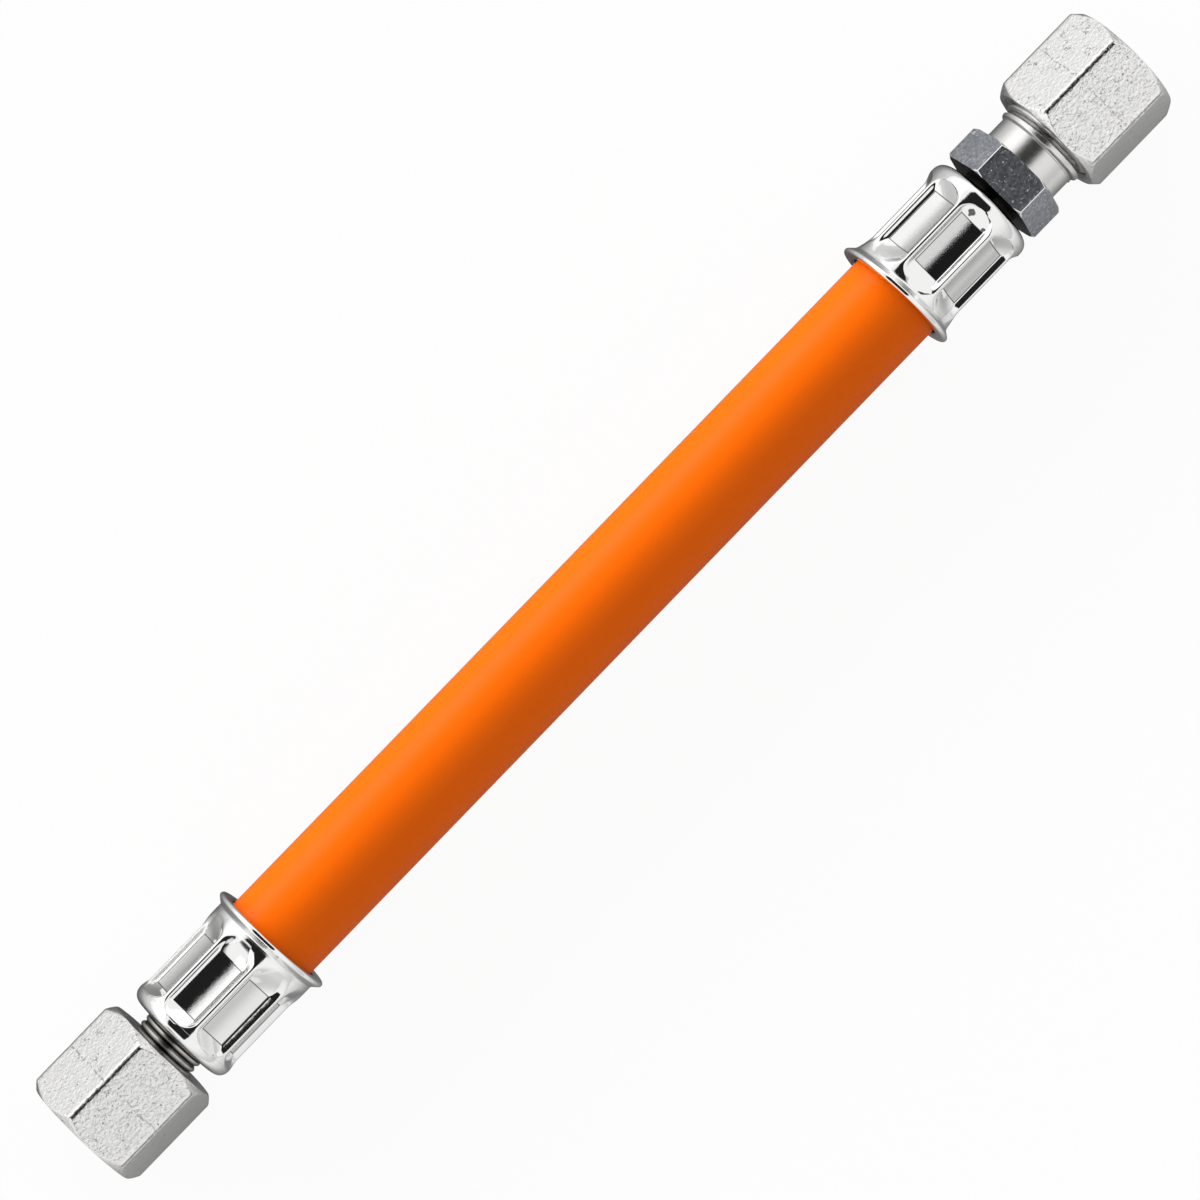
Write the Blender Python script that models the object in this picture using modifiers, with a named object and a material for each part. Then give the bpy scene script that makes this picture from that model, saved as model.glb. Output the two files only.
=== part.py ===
"""Gas hose assembly for a caravan regulator.

A straight rubber hose with a crimped fitting at each end. End A carries a male stud with a hexagon
and the compression nut for an 8 mm pipe. End B carries a tail with a sealing nose, on which a union
nut swivels.

Units are metres, +Z is up and the hose lies along X with end A at +X. The origin is on the hose's
axis, halfway along the whole assembly. Each fitting is modelled about its own +Z, with z = 0 at the
ferrule's mouth and +Z leading away from the hose, and hangs on the empty of its end, which turns +Z
to +X or to -X.
"""

import math

import bmesh
import bpy
from mathutils import Matrix

# --- fits -----------------------------------------------------------------------------------------
SEAT_GAP = 0.0003            # between pieces that touch on the real hose
RUNNING_GAP = 0.00023        # round the neck on which a nut turns
OVERCUT = 0.001              # how far a cutter runs past the face that it opens
THREAD_OVERCUT = 0.00025     # how far a helical cutter starts outside the surface that it grooves
TRIM_OVERCUT = 0.0001        # how far a chamfer's cutter stands clear of the corners that it spares

# --- hose -----------------------------------------------------------------------------------------
HOSE_FREE_LENGTH = 0.1197    # between the two ferrules' mouths
HOSE_DIAMETER = 0.01385
HOSE_BORE = 0.0063
LINING_WALL = 0.0009
BRAID_WALL = 0.0004

# --- ferrules -------------------------------------------------------------------------------------
FERRULE_LENGTH = 0.0180
FERRULE_WALL = 0.00095
FLARE_HEIGHT = 0.000975      # by which the flared mouth stands above the body
FLARE_LENGTH = 0.00175
FLARE_EDGE = 0.00055         # how far behind the mouth the flare is widest
SHOULDER_RADIUS = 0.0019
LIP_THICKNESS = 0.00115      # end wall, pressed into the fitting's groove
CRIMP_DEPTH = 0.0002         # by which the ribs between the pockets lie below the body
CRIMP_RUN_OUT = 0.0014
POCKET_COUNT = 8
POCKET_FLOOR_LENGTH = 0.0091
POCKET_FLOOR_WIDTH = 0.0037
POCKET_DEPTH = 0.001475      # from the ferrule's body to the outside of the floor
POCKET_WALL_SLOPE = 0.98         # rise of the opening's half width for each unit of depth
POCKET_END_SLOPE = 1.1
POCKET_OVERCUT = 0.00015     # how far the pressing tool stands above the ferrule's surface
POCKET_A_FROM_SHOULDER = 0.0045
POCKET_B_FROM_SHOULDER = 0.0036
POCKET_A_CLOCK = 5.0         # degrees about +X, from straight up
POCKET_B_CLOCK = -15.0

# --- stems inside the hose -------------------------------------------------------------------------
STEM_BORE = 0.0045
BARB_OVERSIZE = 0.0001       # by which a barb's crest stands above the hose's bore
BARB_DEPTH = 0.0004
BARB_PITCH = 0.0024
STEM_START = 0.0012          # from the ferrule's mouth to the stem's tip
COLLAR_GAP = 0.00035         # between the collar and the ferrule round it
COLLAR_WIDTH = 0.0010
GROOVE_DIAMETER = 0.0089

# --- M14 x 1.5 threads -----------------------------------------------------------------------------
THREAD_DIAMETER = 0.0140
THREAD_PITCH = 0.0015
THREAD_DEPTH = 0.00085
THREAD_ROOT_FLAT = 0.000375
THREAD_FLANK = math.tan(math.radians(30))
NUT_CREST_GAP = 0.0001       # between the nut's crests and the male thread's roots
NUT_ROOT_GAP = 0.00012       # between the male thread's crests and the nut's roots
FLANK_GAP = 0.00015
THREAD_STEPS = 20

# --- stud, end A -----------------------------------------------------------------------------------
STUD_GAP = 0.00085           # between the ferrule and the hexagon
STUD_ACROSS_FLATS = 0.0140
STUD_HEX_LENGTH = 0.0053
STUD_HEX_CLOCK = 2.7
STUD_CHAMFER = 0.00032
NECK_UNDERCUT = 0.0001       # by which the neck lies below the thread's root
NECK_LENGTH = 0.0034
RUN_OUT_LENGTH = 0.0033      # the thread grows from the neck to full size over this
THREAD_LENGTH = 0.0080       # from the neck to the stud's tip
TIP_CHAMFER = 0.0009
PIPE_DIAMETER = 0.0080
PIPE_GAP = 0.00005
PIPE_DEPTH = 0.0070          # from the stud's tip to the pipe stop
CONE_RISE = 0.00095          # from the pipe's socket to the cone's mouth
CONE_SLOPE = math.tan(math.radians(12))

# --- union nuts --------------------------------------------------------------------------------------
NUT_ACROSS_FLATS = 0.0170
NUT_LENGTH = 0.0154
NUT_FACE_INSET = 0.00005     # by which the round end face lies inside the flats
NUT_CLOCK = 14.1
NUT_A_STAND_OFF = 0.0054     # from the stud's hexagon to the nut's back, as delivered
NUT_THREAD_LENGTH = 0.0096
NUT_CONE_FROM_END = 0.00405  # where nut A's 45 degree seat starts, from its outer end
NUT_CONE_GAP = 0.00045       # between the ring's collar and the mouth of nut A's seat
NUT_PIPE_GAP = 0.0002        # between the pipe and nut A's hole
NUT_B_BACK_WALL = 0.00355    # plain hole behind nut B's seat
MOUTH_CHAMFER = 0.0004

# --- cutting ring ------------------------------------------------------------------------------------
RING_FRONT_WALL = 0.0003
RING_NOSE_LENGTH = 0.0025
RING_WAIST_WALL = 0.0008
RING_COLLAR_WALL = 0.00125
RING_COLLAR_WIDTH = 0.0022
RING_BACK_WALL = 0.0004

# --- tail, end B -------------------------------------------------------------------------------------
NUT_B_STAND_OFF = 0.00245    # from the ferrule's shoulder to nut B's back
RIB_DIAMETER = 0.00954
RIB_DEPTH = 0.0004
RIB_PITCH = 0.00105
RIB_COUNT = 4
TAIL_NECK_DIAMETER = 0.0088
HEAD_GAP = 0.00035           # between the head and the nut's thread, so that the nut goes on over it
HEAD_LENGTH = 0.0017
NOSE_GAP = 0.00005           # between the nose's foot and the mouth of the outlet's cone
NOSE_LENGTH = 0.0040
O_RING_INSET = 0.00005       # by which the ring's outside lies within the nose's foot
O_RING_SECTION = 0.0014
O_RING_FROM_HEAD = 0.0013    # from the head's front face to the ring's middle

ROUND_STEPS = 24

# --- places that follow ------------------------------------------------------------------------------
FLAT_TO_CORNER = 2 / math.sqrt(3)
hose_radius = HOSE_DIAMETER / 2
lining_outer = HOSE_BORE / 2 + LINING_WALL
braid_inner = lining_outer + SEAT_GAP
braid_outer = braid_inner + BRAID_WALL
cover_inner = braid_outer + SEAT_GAP
barb_crest = HOSE_BORE / 2 + BARB_OVERSIZE
stem_clear = barb_crest + SEAT_GAP

ferrule_bore = hose_radius + SEAT_GAP
ferrule_radius = ferrule_bore + FERRULE_WALL
flare_radius = ferrule_radius + FLARE_HEIGHT
pocket_floor = ferrule_radius - POCKET_DEPTH
crimp_floor = pocket_floor - FERRULE_WALL
collar_radius = crimp_floor - COLLAR_GAP
lip_inside = FERRULE_LENGTH - LIP_THICKNESS
collar_end = lip_inside - SEAT_GAP
collar_start = collar_end - COLLAR_WIDTH
hose_insertion = collar_start - SEAT_GAP
pocket_a_middle = FERRULE_LENGTH - POCKET_A_FROM_SHOULDER - POCKET_FLOOR_LENGTH / 2
pocket_b_middle = FERRULE_LENGTH - POCKET_B_FROM_SHOULDER - POCKET_FLOOR_LENGTH / 2
crimp_reach = POCKET_FLOOR_LENGTH / 2 + CRIMP_RUN_OUT

thread_crest = THREAD_DIAMETER / 2
thread_root = thread_crest - THREAD_DEPTH
neck_radius = thread_root - NECK_UNDERCUT
nut_minor = thread_root + NUT_CREST_GAP
nut_major = thread_crest + NUT_ROOT_GAP

pipe_socket = PIPE_DIAMETER / 2 + PIPE_GAP
cone_mouth = pipe_socket + CONE_RISE
ring_collar = pipe_socket + RING_COLLAR_WALL
nut_cone = ring_collar + NUT_CONE_GAP

head_radius = nut_minor - HEAD_GAP
nose_radius = cone_mouth - NOSE_GAP
o_ring_radius = nose_radius - O_RING_INSET
nut_b_hole = RIB_DIAMETER / 2 + RUNNING_GAP

stud_hex_start = FERRULE_LENGTH + STUD_GAP
stud_hex_end = stud_hex_start + STUD_HEX_LENGTH
neck_end = stud_hex_end + NECK_LENGTH
stud_tip = neck_end + THREAD_LENGTH
nut_a_back = stud_hex_end + NUT_A_STAND_OFF
nut_b_back = FERRULE_LENGTH + NUT_B_STAND_OFF

end_a_length = nut_a_back + NUT_LENGTH
end_b_length = nut_b_back + NUT_LENGTH
overall_length = end_a_length + HOSE_FREE_LENGTH + end_b_length
mouth_a = overall_length / 2 - end_a_length
mouth_b = end_b_length - overall_length / 2


# --- scene and helpers -------------------------------------------------------------------------------
def clear_scene():
    """Start from an empty scene."""
    for old in list(bpy.data.objects):
        bpy.data.objects.remove(old, do_unlink=True)


def collection(name):
    """A new collection in the scene."""
    made = bpy.data.collections.new(name)
    bpy.context.scene.collection.children.link(made)
    return made


clear_scene()
PARTS = collection("propane_regulator_hose")
TOOLS = collection("cutters")


def material(name, color, metallic, roughness):
    """A plain Principled material."""
    made = bpy.data.materials.new(name)
    made.use_nodes = True
    shader = made.node_tree.nodes["Principled BSDF"]
    shader.inputs["Base Color"].default_value = (*color, 1.0)
    shader.inputs["Metallic"].default_value = metallic
    shader.inputs["Roughness"].default_value = roughness
    made.diffuse_color = (*color, 1.0)
    return made


def add_object(name, mesh, target):
    """Wrap a mesh in an object, shade it and put it in a collection."""
    made = bpy.data.objects.new(name, mesh)
    target.objects.link(made)
    mesh.shade_smooth()
    mesh.set_sharp_from_angle(angle=math.radians(30))
    if target is TOOLS:
        made.hide_render = True
        made.display_type = "WIRE"
    return made


def mesh_from(bm, name):
    """Close a bmesh into a new mesh."""
    mesh = bpy.data.meshes.new(name)
    bm.to_mesh(mesh)
    bm.free()
    return mesh


def screw(made, height, turns, steps):
    """Turn an object's profile about its own Z, climbing by height each turn."""
    turning = made.modifiers.new("turn", "SCREW")
    turning.axis = "Z"
    turning.angle = math.tau
    turning.screw_offset = height
    turning.iterations = turns
    turning.steps = steps
    turning.render_steps = steps
    turning.use_merge_vertices = height == 0
    turning.merge_threshold = 0.000001
    turning.use_smooth_shade = True


def turned(name, outline, target=TOOLS, ring=False):
    """Turn an outline of (radius, z) points about Z.

    It runs down the outer side, top to bottom. An open outline starts and ends on the axis. A ring's
    outline closes on itself.
    """
    mesh = bpy.data.meshes.new(name)
    links = [(i, i + 1) for i in range(len(outline) - 1)]
    if ring:
        links.append((len(outline) - 1, 0))
    mesh.from_pydata([(radius, 0, z) for radius, z in outline], links, [])
    made = add_object(name, mesh, target)
    screw(made, 0, 1, ROUND_STEPS)
    return made


def plug(name, outline):
    """A turned cutter with flat ends, from (radius, z) points that run from its top to its bottom."""
    return turned(name, [(0, outline[0][1])] + outline + [(0, outline[-1][1])])


def evaluated_mesh(source):
    """The mesh of an object with its modifiers applied."""
    bpy.context.view_layer.update()
    graph = bpy.context.evaluated_depsgraph_get()
    return bpy.data.meshes.new_from_object(source.evaluated_get(graph), depsgraph=graph)


def thread_tool(name, outline, start, turns):
    """A helical cutter with capped ends, from (radius, z) points of its section.

    The section's middle passes the +X side at the height start.
    """
    mesh = bpy.data.meshes.new(name)
    links = [(i, (i + 1) % len(outline)) for i in range(len(outline))]
    mesh.from_pydata([(radius, 0, start + z) for radius, z in outline], links, [])
    profile = add_object(name + "_section", mesh, TOOLS)
    screw(profile, THREAD_PITCH, turns, THREAD_STEPS)
    bm = bmesh.new()
    bm.from_mesh(evaluated_mesh(profile))
    bpy.data.objects.remove(profile)
    bmesh.ops.holes_fill(bm, edges=[e for e in bm.edges if e.is_boundary], sides=0)
    bmesh.ops.triangulate(bm, faces=bm.faces[:])
    bmesh.ops.recalc_face_normals(bm, faces=bm.faces[:])
    return add_object(name, mesh_from(bm, name), TOOLS)


def prism(name, sides, across_flats, low, high, clock, target=TOOLS):
    """A prism about Z with a flat at the angle clock from +X."""
    bm = bmesh.new()
    bmesh.ops.create_cone(
        bm, cap_ends=True, segments=sides, depth=high - low,
        radius1=across_flats / 2 / math.cos(math.pi / sides),
        radius2=across_flats / 2 / math.cos(math.pi / sides),
    )
    first_corner = math.pi / 2
    to_flat = first_corner - math.pi / sides
    spin = math.radians(clock) - to_flat
    bmesh.ops.rotate(bm, verts=bm.verts[:], matrix=Matrix.Rotation(spin, 3, "Z"))
    bmesh.ops.translate(bm, verts=bm.verts[:], vec=(0, 0, (low + high) / 2))
    return add_object(name, mesh_from(bm, name), target)


def combine(made, operation, tool):
    """Cut, join or trim an object with another, which is modelled in its frame and moves with it."""
    tool.parent = made
    step = made.modifiers.new(tool.name, "BOOLEAN")
    step.operation = operation
    step.object = tool
    step.solver = "EXACT"


def cut(made, tool):
    combine(made, "DIFFERENCE", tool)


def join(made, tool):
    combine(made, "UNION", tool)


def trim(made, tool):
    combine(made, "INTERSECT", tool)


def place(made, end, z, finish):
    """Hang a piece on the empty of its end, at the height z along the fitting."""
    made.parent = end
    made.location = (0, 0, z)
    made.data.materials.append(finish)


def end_frame(name, x, turn):
    """The empty that carries one end's fitting."""
    made = bpy.data.objects.new(name, None)
    made.location = (x, 0, 0)
    made.rotation_euler = (0, math.radians(turn), 0)
    PARTS.objects.link(made)
    return made


# --- hose --------------------------------------------------------------------------------------------
def hose_layer(name, inner, outer, end_inner, finish):
    """One layer of the hose, with the bore that it takes over the two stems."""
    low = mouth_b - hose_insertion
    high = mouth_a + hose_insertion
    widen_low = mouth_b - STEM_START + SEAT_GAP
    widen_high = mouth_a + STEM_START - SEAT_GAP
    widening = end_inner - inner
    bore = [(inner, low), (inner, high)]
    if widening > 0:
        bore = [
            (end_inner, low), (end_inner, widen_low), (inner, widen_low + widening),
            (inner, widen_high - widening), (end_inner, widen_high), (end_inner, high),
        ]
    made = turned(name, [(outer, high), (outer, low)] + bore, PARTS, ring=True)
    made.rotation_euler = (0, math.radians(90), 0)
    made.data.materials.append(finish)
    return made


def hose_lining(finish):
    return hose_layer("hose_lining", HOSE_BORE / 2, lining_outer, stem_clear, finish)


def hose_braid(finish):
    return hose_layer("hose_braid", braid_inner, braid_outer, braid_inner, finish)


def hose_cover(finish):
    """The outer rubber: round where it is free, pressed to eight flats inside each ferrule."""
    crimp_a = mouth_a + pocket_a_middle - crimp_reach + SEAT_GAP
    crimp_b = mouth_b - pocket_b_middle + crimp_reach - SEAT_GAP
    step_a = crimp_a - 2 * SEAT_GAP
    step_b = crimp_b + 2 * SEAT_GAP
    made = turned("hose_cover", [
        (0, step_a), (hose_radius, step_a), (hose_radius, step_b), (0, step_b),
    ], PARTS)
    flats = 2 * (crimp_floor - SEAT_GAP)
    middle = HOSE_FREE_LENGTH / 4
    end_a = prism("cover_crimp_a", POCKET_COUNT, flats, middle, mouth_a + hose_insertion, POCKET_A_CLOCK)
    end_b = prism("cover_crimp_b", POCKET_COUNT, flats, mouth_b - hose_insertion, -middle, POCKET_B_CLOCK)
    bore = plug("cover_bore", [
        (cover_inner, mouth_a + hose_insertion + OVERCUT),
        (cover_inner, mouth_b - hose_insertion - OVERCUT),
    ])
    join(made, end_a)
    join(made, end_b)
    cut(made, bore)
    made.rotation_euler = (0, math.radians(90), 0)
    made.data.materials.append(finish)
    return made


# --- ferrules ----------------------------------------------------------------------------------------
def pocket_tool(name, middle, clock):
    """Eight wedges that press the pockets, as one cutter."""
    depth = POCKET_DEPTH + POCKET_OVERCUT
    bm = bmesh.new()
    for i in range(POCKET_COUNT):
        block = bmesh.ops.create_cube(bm, size=1)["verts"]
        for vert in block:
            out = vert.co.x > 0
            wide = POCKET_FLOOR_WIDTH / 2 + (depth * POCKET_WALL_SLOPE if out else 0)
            long = POCKET_FLOOR_LENGTH / 2 + (depth * POCKET_END_SLOPE if out else 0)
            vert.co.x = pocket_floor + (depth if out else 0)
            vert.co.y = math.copysign(wide, vert.co.y)
            vert.co.z = middle + math.copysign(long, vert.co.z)
        spin = math.radians(clock) + i * math.tau / POCKET_COUNT
        bmesh.ops.rotate(bm, verts=block, matrix=Matrix.Rotation(spin, 3, "Z"))
    return add_object(name, mesh_from(bm, name), TOOLS)


def ferrule(name, end, middle, clock, finish):
    """A deep-drawn sleeve with a flared mouth, eight pressed pockets and an end lip."""
    rib = ferrule_radius - CRIMP_DEPTH
    low_run = middle - crimp_reach
    high_run = middle + crimp_reach
    rounding = [
        (ferrule_radius - SHOULDER_RADIUS * (1 - math.sin(turn)),
         FERRULE_LENGTH - SHOULDER_RADIUS * (1 - math.cos(turn)))
        for turn in (math.radians(90 * i / 4) for i in range(5))
    ]
    made = turned(name, [(0, FERRULE_LENGTH)] + rounding + [
        (ferrule_radius, high_run), (rib, high_run - CRIMP_RUN_OUT / 2),
        (rib, low_run + CRIMP_RUN_OUT / 2), (ferrule_radius, low_run),
        (ferrule_radius, FLARE_LENGTH),
        ((ferrule_radius + flare_radius) / 2, FLARE_LENGTH - FLARE_EDGE),
        (flare_radius, FLARE_EDGE), (flare_radius - FLARE_EDGE / 2, 0), (0, 0),
    ], PARTS)
    cut(made, pocket_tool(name + "_pockets", middle, clock))
    cut(made, plug(name + "_mouth", [
        (ferrule_bore, low_run), (ferrule_bore, FLARE_EDGE), (ferrule_bore + FLARE_EDGE, 0),
        (ferrule_bore + FLARE_EDGE, -OVERCUT),
    ]))
    inside = prism(
        name + "_crimp", POCKET_COUNT, 2 * crimp_floor, low_run - OVERCUT, lip_inside, clock)
    cut(made, inside)
    lip_hole = GROOVE_DIAMETER / 2 + SEAT_GAP
    cut(made, plug(name + "_lip", [
        (lip_hole, FERRULE_LENGTH + OVERCUT), (lip_hole, lip_inside - OVERCUT)]))
    place(made, end, 0, finish)
    return made


# --- fittings ----------------------------------------------------------------------------------------
def stem_outline():
    """The part of a fitting inside the hose, from its groove down to its tip, with the barbs."""
    crest = barb_crest
    root = crest - BARB_DEPTH
    points = [
        (GROOVE_DIAMETER / 2, collar_end), (collar_radius, collar_end),
        (collar_radius, collar_start), (root, collar_start),
    ]
    barbs = int((collar_start - STEM_START) / BARB_PITCH)
    for i in reversed(range(barbs)):
        tip = STEM_START + i * BARB_PITCH
        points += [(root, tip + BARB_PITCH * 0.75), (crest, tip + BARB_PITCH * 0.7), (root, tip)]
    return points + [(0, STEM_START)]


def thread_section(root_radius, root_half, outer_radius):
    """The section of a V cutter: a flat root, 30 degree flanks and straight sides past the crest."""
    wide = root_half + (thread_crest - root_radius) * THREAD_FLANK
    return [
        (root_radius, -root_half), (thread_crest, -wide), (outer_radius, -wide),
        (outer_radius, wide), (thread_crest, wide), (root_radius, root_half),
    ]


def stud_a(end, finish):
    """Barbed stem, hexagon, neck and male thread, with the socket and 24 degree cone for a pipe."""
    crest = thread_crest
    half_way = (neck_radius + crest) / 2
    made = turned("stud_a", [
        (0, stud_tip), (crest - TIP_CHAMFER, stud_tip), (crest, stud_tip - TIP_CHAMFER),
        (crest, neck_end + RUN_OUT_LENGTH), (half_way, neck_end + RUN_OUT_LENGTH / 2),
        (neck_radius, neck_end), (neck_radius, stud_hex_end - STUD_HEX_LENGTH / 2),
        (GROOVE_DIAMETER / 2, stud_hex_end - STUD_HEX_LENGTH / 2),
    ] + stem_outline(), PARTS)
    hexagon = prism("stud_hexagon", 6, STUD_ACROSS_FLATS, stud_hex_start, stud_hex_end, STUD_HEX_CLOCK)
    corner = STUD_ACROSS_FLATS / 2 * FLAT_TO_CORNER
    face = corner - STUD_CHAMFER / math.tan(math.radians(30))
    trim(hexagon, plug("stud_hexagon_chamfer", [
        (face, stud_hex_end + TRIM_OVERCUT), (corner + TRIM_OVERCUT, stud_hex_end - STUD_CHAMFER),
        (corner + TRIM_OVERCUT, stud_hex_start + STUD_CHAMFER), (face, stud_hex_start - TRIM_OVERCUT),
    ]))
    join(made, hexagon)
    turns = math.ceil(THREAD_LENGTH / THREAD_PITCH) + 2
    cut(made, thread_tool(
        "stud_thread", thread_section(thread_root, THREAD_ROOT_FLAT / 2, crest + THREAD_OVERCUT),
        neck_end - THREAD_PITCH / 2, turns))
    cone_length = CONE_RISE / CONE_SLOPE
    cut(made, plug("stud_bore", [
        (cone_mouth + OVERCUT * CONE_SLOPE, stud_tip + OVERCUT),
        (pipe_socket, stud_tip - cone_length), (pipe_socket, stud_tip - PIPE_DEPTH),
        (STEM_BORE / 2, stud_tip - PIPE_DEPTH), (STEM_BORE / 2, STEM_START - OVERCUT),
    ]))
    place(made, end, 0, finish)
    return made


def nut_blank(name, clock):
    """A hexagon nut's outside, chamfered at both ends, with its back at z = 0."""
    corner = NUT_ACROSS_FLATS / 2 * FLAT_TO_CORNER
    face = NUT_ACROSS_FLATS / 2 - NUT_FACE_INSET
    rise = corner - face
    made = prism(name, 6, NUT_ACROSS_FLATS, 0, NUT_LENGTH, clock, PARTS)
    trim(made, plug(name + "_chamfer", [
        (face - TRIM_OVERCUT, NUT_LENGTH + TRIM_OVERCUT), (corner + TRIM_OVERCUT, NUT_LENGTH - rise),
        (corner + TRIM_OVERCUT, rise), (face - TRIM_OVERCUT, -TRIM_OVERCUT),
    ]))
    return made


def nut_thread(name, start):
    """The helical cutter of a nut's thread, wider than the male thread by the flank gap."""
    male_ridge_half = THREAD_PITCH / 2 - THREAD_ROOT_FLAT / 2 - NUT_CREST_GAP * THREAD_FLANK
    wide = male_ridge_half + FLANK_GAP
    narrow = wide - (nut_major - nut_minor) * THREAD_FLANK
    inside = nut_minor - THREAD_OVERCUT
    turns = round(NUT_THREAD_LENGTH / THREAD_PITCH) + 1
    return thread_tool(name, [
        (inside, -wide), (nut_minor, -wide), (nut_major, -narrow), (nut_major, narrow),
        (nut_minor, wide), (inside, wide),
    ], start, turns)


def union_nut_a(end, finish):
    """Compression nut: threaded from its back, with a 45 degree seat and the pipe's hole in front."""
    made = nut_blank("union_nut_a", NUT_CLOCK)
    hole = PIPE_DIAMETER / 2 + NUT_PIPE_GAP
    cone_start = NUT_LENGTH - NUT_CONE_FROM_END
    thread_end = NUT_THREAD_LENGTH + THREAD_PITCH / 2
    mouth = nut_major + MOUTH_CHAMFER
    cut(made, plug("nut_a_bore", [
        (hole, NUT_LENGTH + OVERCUT), (hole, cone_start + nut_cone - hole), (nut_cone, cone_start),
        (nut_cone, thread_end), (nut_minor, thread_end - (nut_minor - nut_cone)),
        (nut_minor, mouth - nut_minor), (mouth, 0), (mouth, -OVERCUT),
    ]))
    male_phase = neck_end - THREAD_PITCH / 2
    ridge = male_phase + THREAD_PITCH / 2 - nut_a_back
    start = ridge % THREAD_PITCH - 2 * THREAD_PITCH
    cut(made, nut_thread("nut_a_thread", start))
    place(made, end, nut_a_back, finish)
    return made


def union_nut_b(end, finish):
    """Swivel nut: a plain hole at its back for the tail, a 45 degree seat and a threaded mouth."""
    made = nut_blank("union_nut_b", -NUT_CLOCK)
    mouth = nut_major + MOUTH_CHAMFER
    cut(made, plug("nut_b_bore", [
        (mouth, NUT_LENGTH + OVERCUT), (mouth, NUT_LENGTH),
        (nut_minor, NUT_LENGTH - (mouth - nut_minor)),
        (nut_minor, NUT_B_BACK_WALL + nut_minor - nut_b_hole), (nut_b_hole, NUT_B_BACK_WALL),
        (nut_b_hole, -OVERCUT),
    ]))
    start = NUT_LENGTH - NUT_THREAD_LENGTH
    cut(made, nut_thread("nut_b_thread", start))
    place(made, end, nut_b_back, finish)
    return made


def cutting_ring_a(end, finish):
    """Compression ring between the stud's cone and the seat of nut A, ready to grip a pipe."""
    front = pipe_socket + RING_FRONT_WALL
    waist = pipe_socket + RING_WAIST_WALL
    back = pipe_socket + RING_BACK_WALL
    mouth_depth = (cone_mouth - front - SEAT_GAP) / CONE_SLOPE
    start = stud_tip - mouth_depth
    seat = nut_a_back + NUT_LENGTH - NUT_CONE_FROM_END - SEAT_GAP * math.sqrt(2)
    collar_back = seat + nut_cone - ring_collar
    ring_end = seat + nut_cone - back
    made = turned("cutting_ring_a", [
        (back, ring_end - start), (ring_collar, collar_back - start),
        (ring_collar, collar_back - RING_COLLAR_WIDTH - start), (waist, RING_NOSE_LENGTH),
        (front, 0), (pipe_socket, 0), (pipe_socket, ring_end - start),
    ], PARTS, ring=True)
    place(made, end, start, finish)
    return made


def tail_b(end, finish):
    """Barbed stem, ringed neck, head that holds the swivel nut, and sealing nose."""
    seat = nut_b_back + NUT_B_BACK_WALL + SEAT_GAP * math.sqrt(2)
    head = head_radius
    neck = TAIL_NECK_DIAMETER / 2
    head_back = seat + head - nut_b_hole
    head_front = head_back + HEAD_LENGTH
    nose = nose_radius
    groove_half = O_RING_SECTION / 2 + SEAT_GAP / 2
    groove_root = o_ring_radius - O_RING_SECTION - SEAT_GAP
    groove_low = head_front + O_RING_FROM_HEAD - groove_half
    groove_high = groove_low + 2 * groove_half
    nose_end = head_front + NOSE_LENGTH
    points = [
        (0, nose_end), (nose - NOSE_LENGTH * CONE_SLOPE, nose_end),
        (nose - (groove_high - head_front) * CONE_SLOPE, groove_high), (groove_root, groove_high),
        (groove_root, groove_low), (nose - (groove_low - head_front) * CONE_SLOPE, groove_low),
        (nose, head_front), (head, head_front), (head, head_back), (neck, head_back - (head - neck)),
    ]
    first_rib = FERRULE_LENGTH + RIB_PITCH / 2
    for i in reversed(range(RIB_COUNT)):
        middle = first_rib + i * RIB_PITCH
        crest = RIB_DIAMETER / 2
        points += [
            (crest - RIB_DEPTH, middle + RIB_PITCH / 2), (crest, middle + RIB_PITCH / 6),
            (crest, middle - RIB_PITCH / 6),
        ]
    points.append((GROOVE_DIAMETER / 2, first_rib - RIB_PITCH / 2))
    made = turned("tail_b", points + stem_outline(), PARTS)
    cut(made, plug("tail_bore", [
        (STEM_BORE / 2, nose_end + OVERCUT), (STEM_BORE / 2, STEM_START - OVERCUT)]))
    place(made, end, 0, finish)
    return head_front + O_RING_FROM_HEAD


def o_ring_b(end, z, finish):
    """The rubber seal in the groove of tail B's nose."""
    bpy.ops.mesh.primitive_torus_add(
        major_radius=o_ring_radius - O_RING_SECTION / 2, minor_radius=O_RING_SECTION / 2,
        major_segments=ROUND_STEPS, minor_segments=8)
    made = bpy.context.object
    made.name = "o_ring_b"
    for old in list(made.users_collection):
        old.objects.unlink(made)
    PARTS.objects.link(made)
    made.data.shade_smooth()
    place(made, end, z, finish)
    return made


# --- the assembly ------------------------------------------------------------------------------------
def build():
    orange = material("orange_rubber", (0.80, 0.20, 0.02), 0.0, 0.45)
    yarn = material("white_yarn", (0.75, 0.73, 0.68), 0.0, 0.8)
    black = material("black_rubber", (0.02, 0.02, 0.02), 0.0, 0.5)
    plated = material("bright_plating", (0.80, 0.80, 0.80), 1.0, 0.12)
    turned_steel = material("turned_steel", (0.45, 0.46, 0.48), 1.0, 0.3)
    zinc = material("zinc_plated_steel", (0.72, 0.72, 0.72), 0.9, 0.45)

    end_a = end_frame("end_a", mouth_a, 90)
    end_b = end_frame("end_b", mouth_b, -90)
    hose_lining(black)
    hose_braid(yarn)
    hose_cover(orange)
    ferrule("ferrule_a", end_a, pocket_a_middle, 180 + POCKET_A_CLOCK, plated)
    ferrule("ferrule_b", end_b, pocket_b_middle, -POCKET_B_CLOCK, plated)
    stud_a(end_a, turned_steel)
    cutting_ring_a(end_a, turned_steel)
    union_nut_a(end_a, zinc)
    seal_z = tail_b(end_b, turned_steel)
    o_ring_b(end_b, seal_z, black)
    union_nut_b(end_b, zinc)


build()
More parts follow.
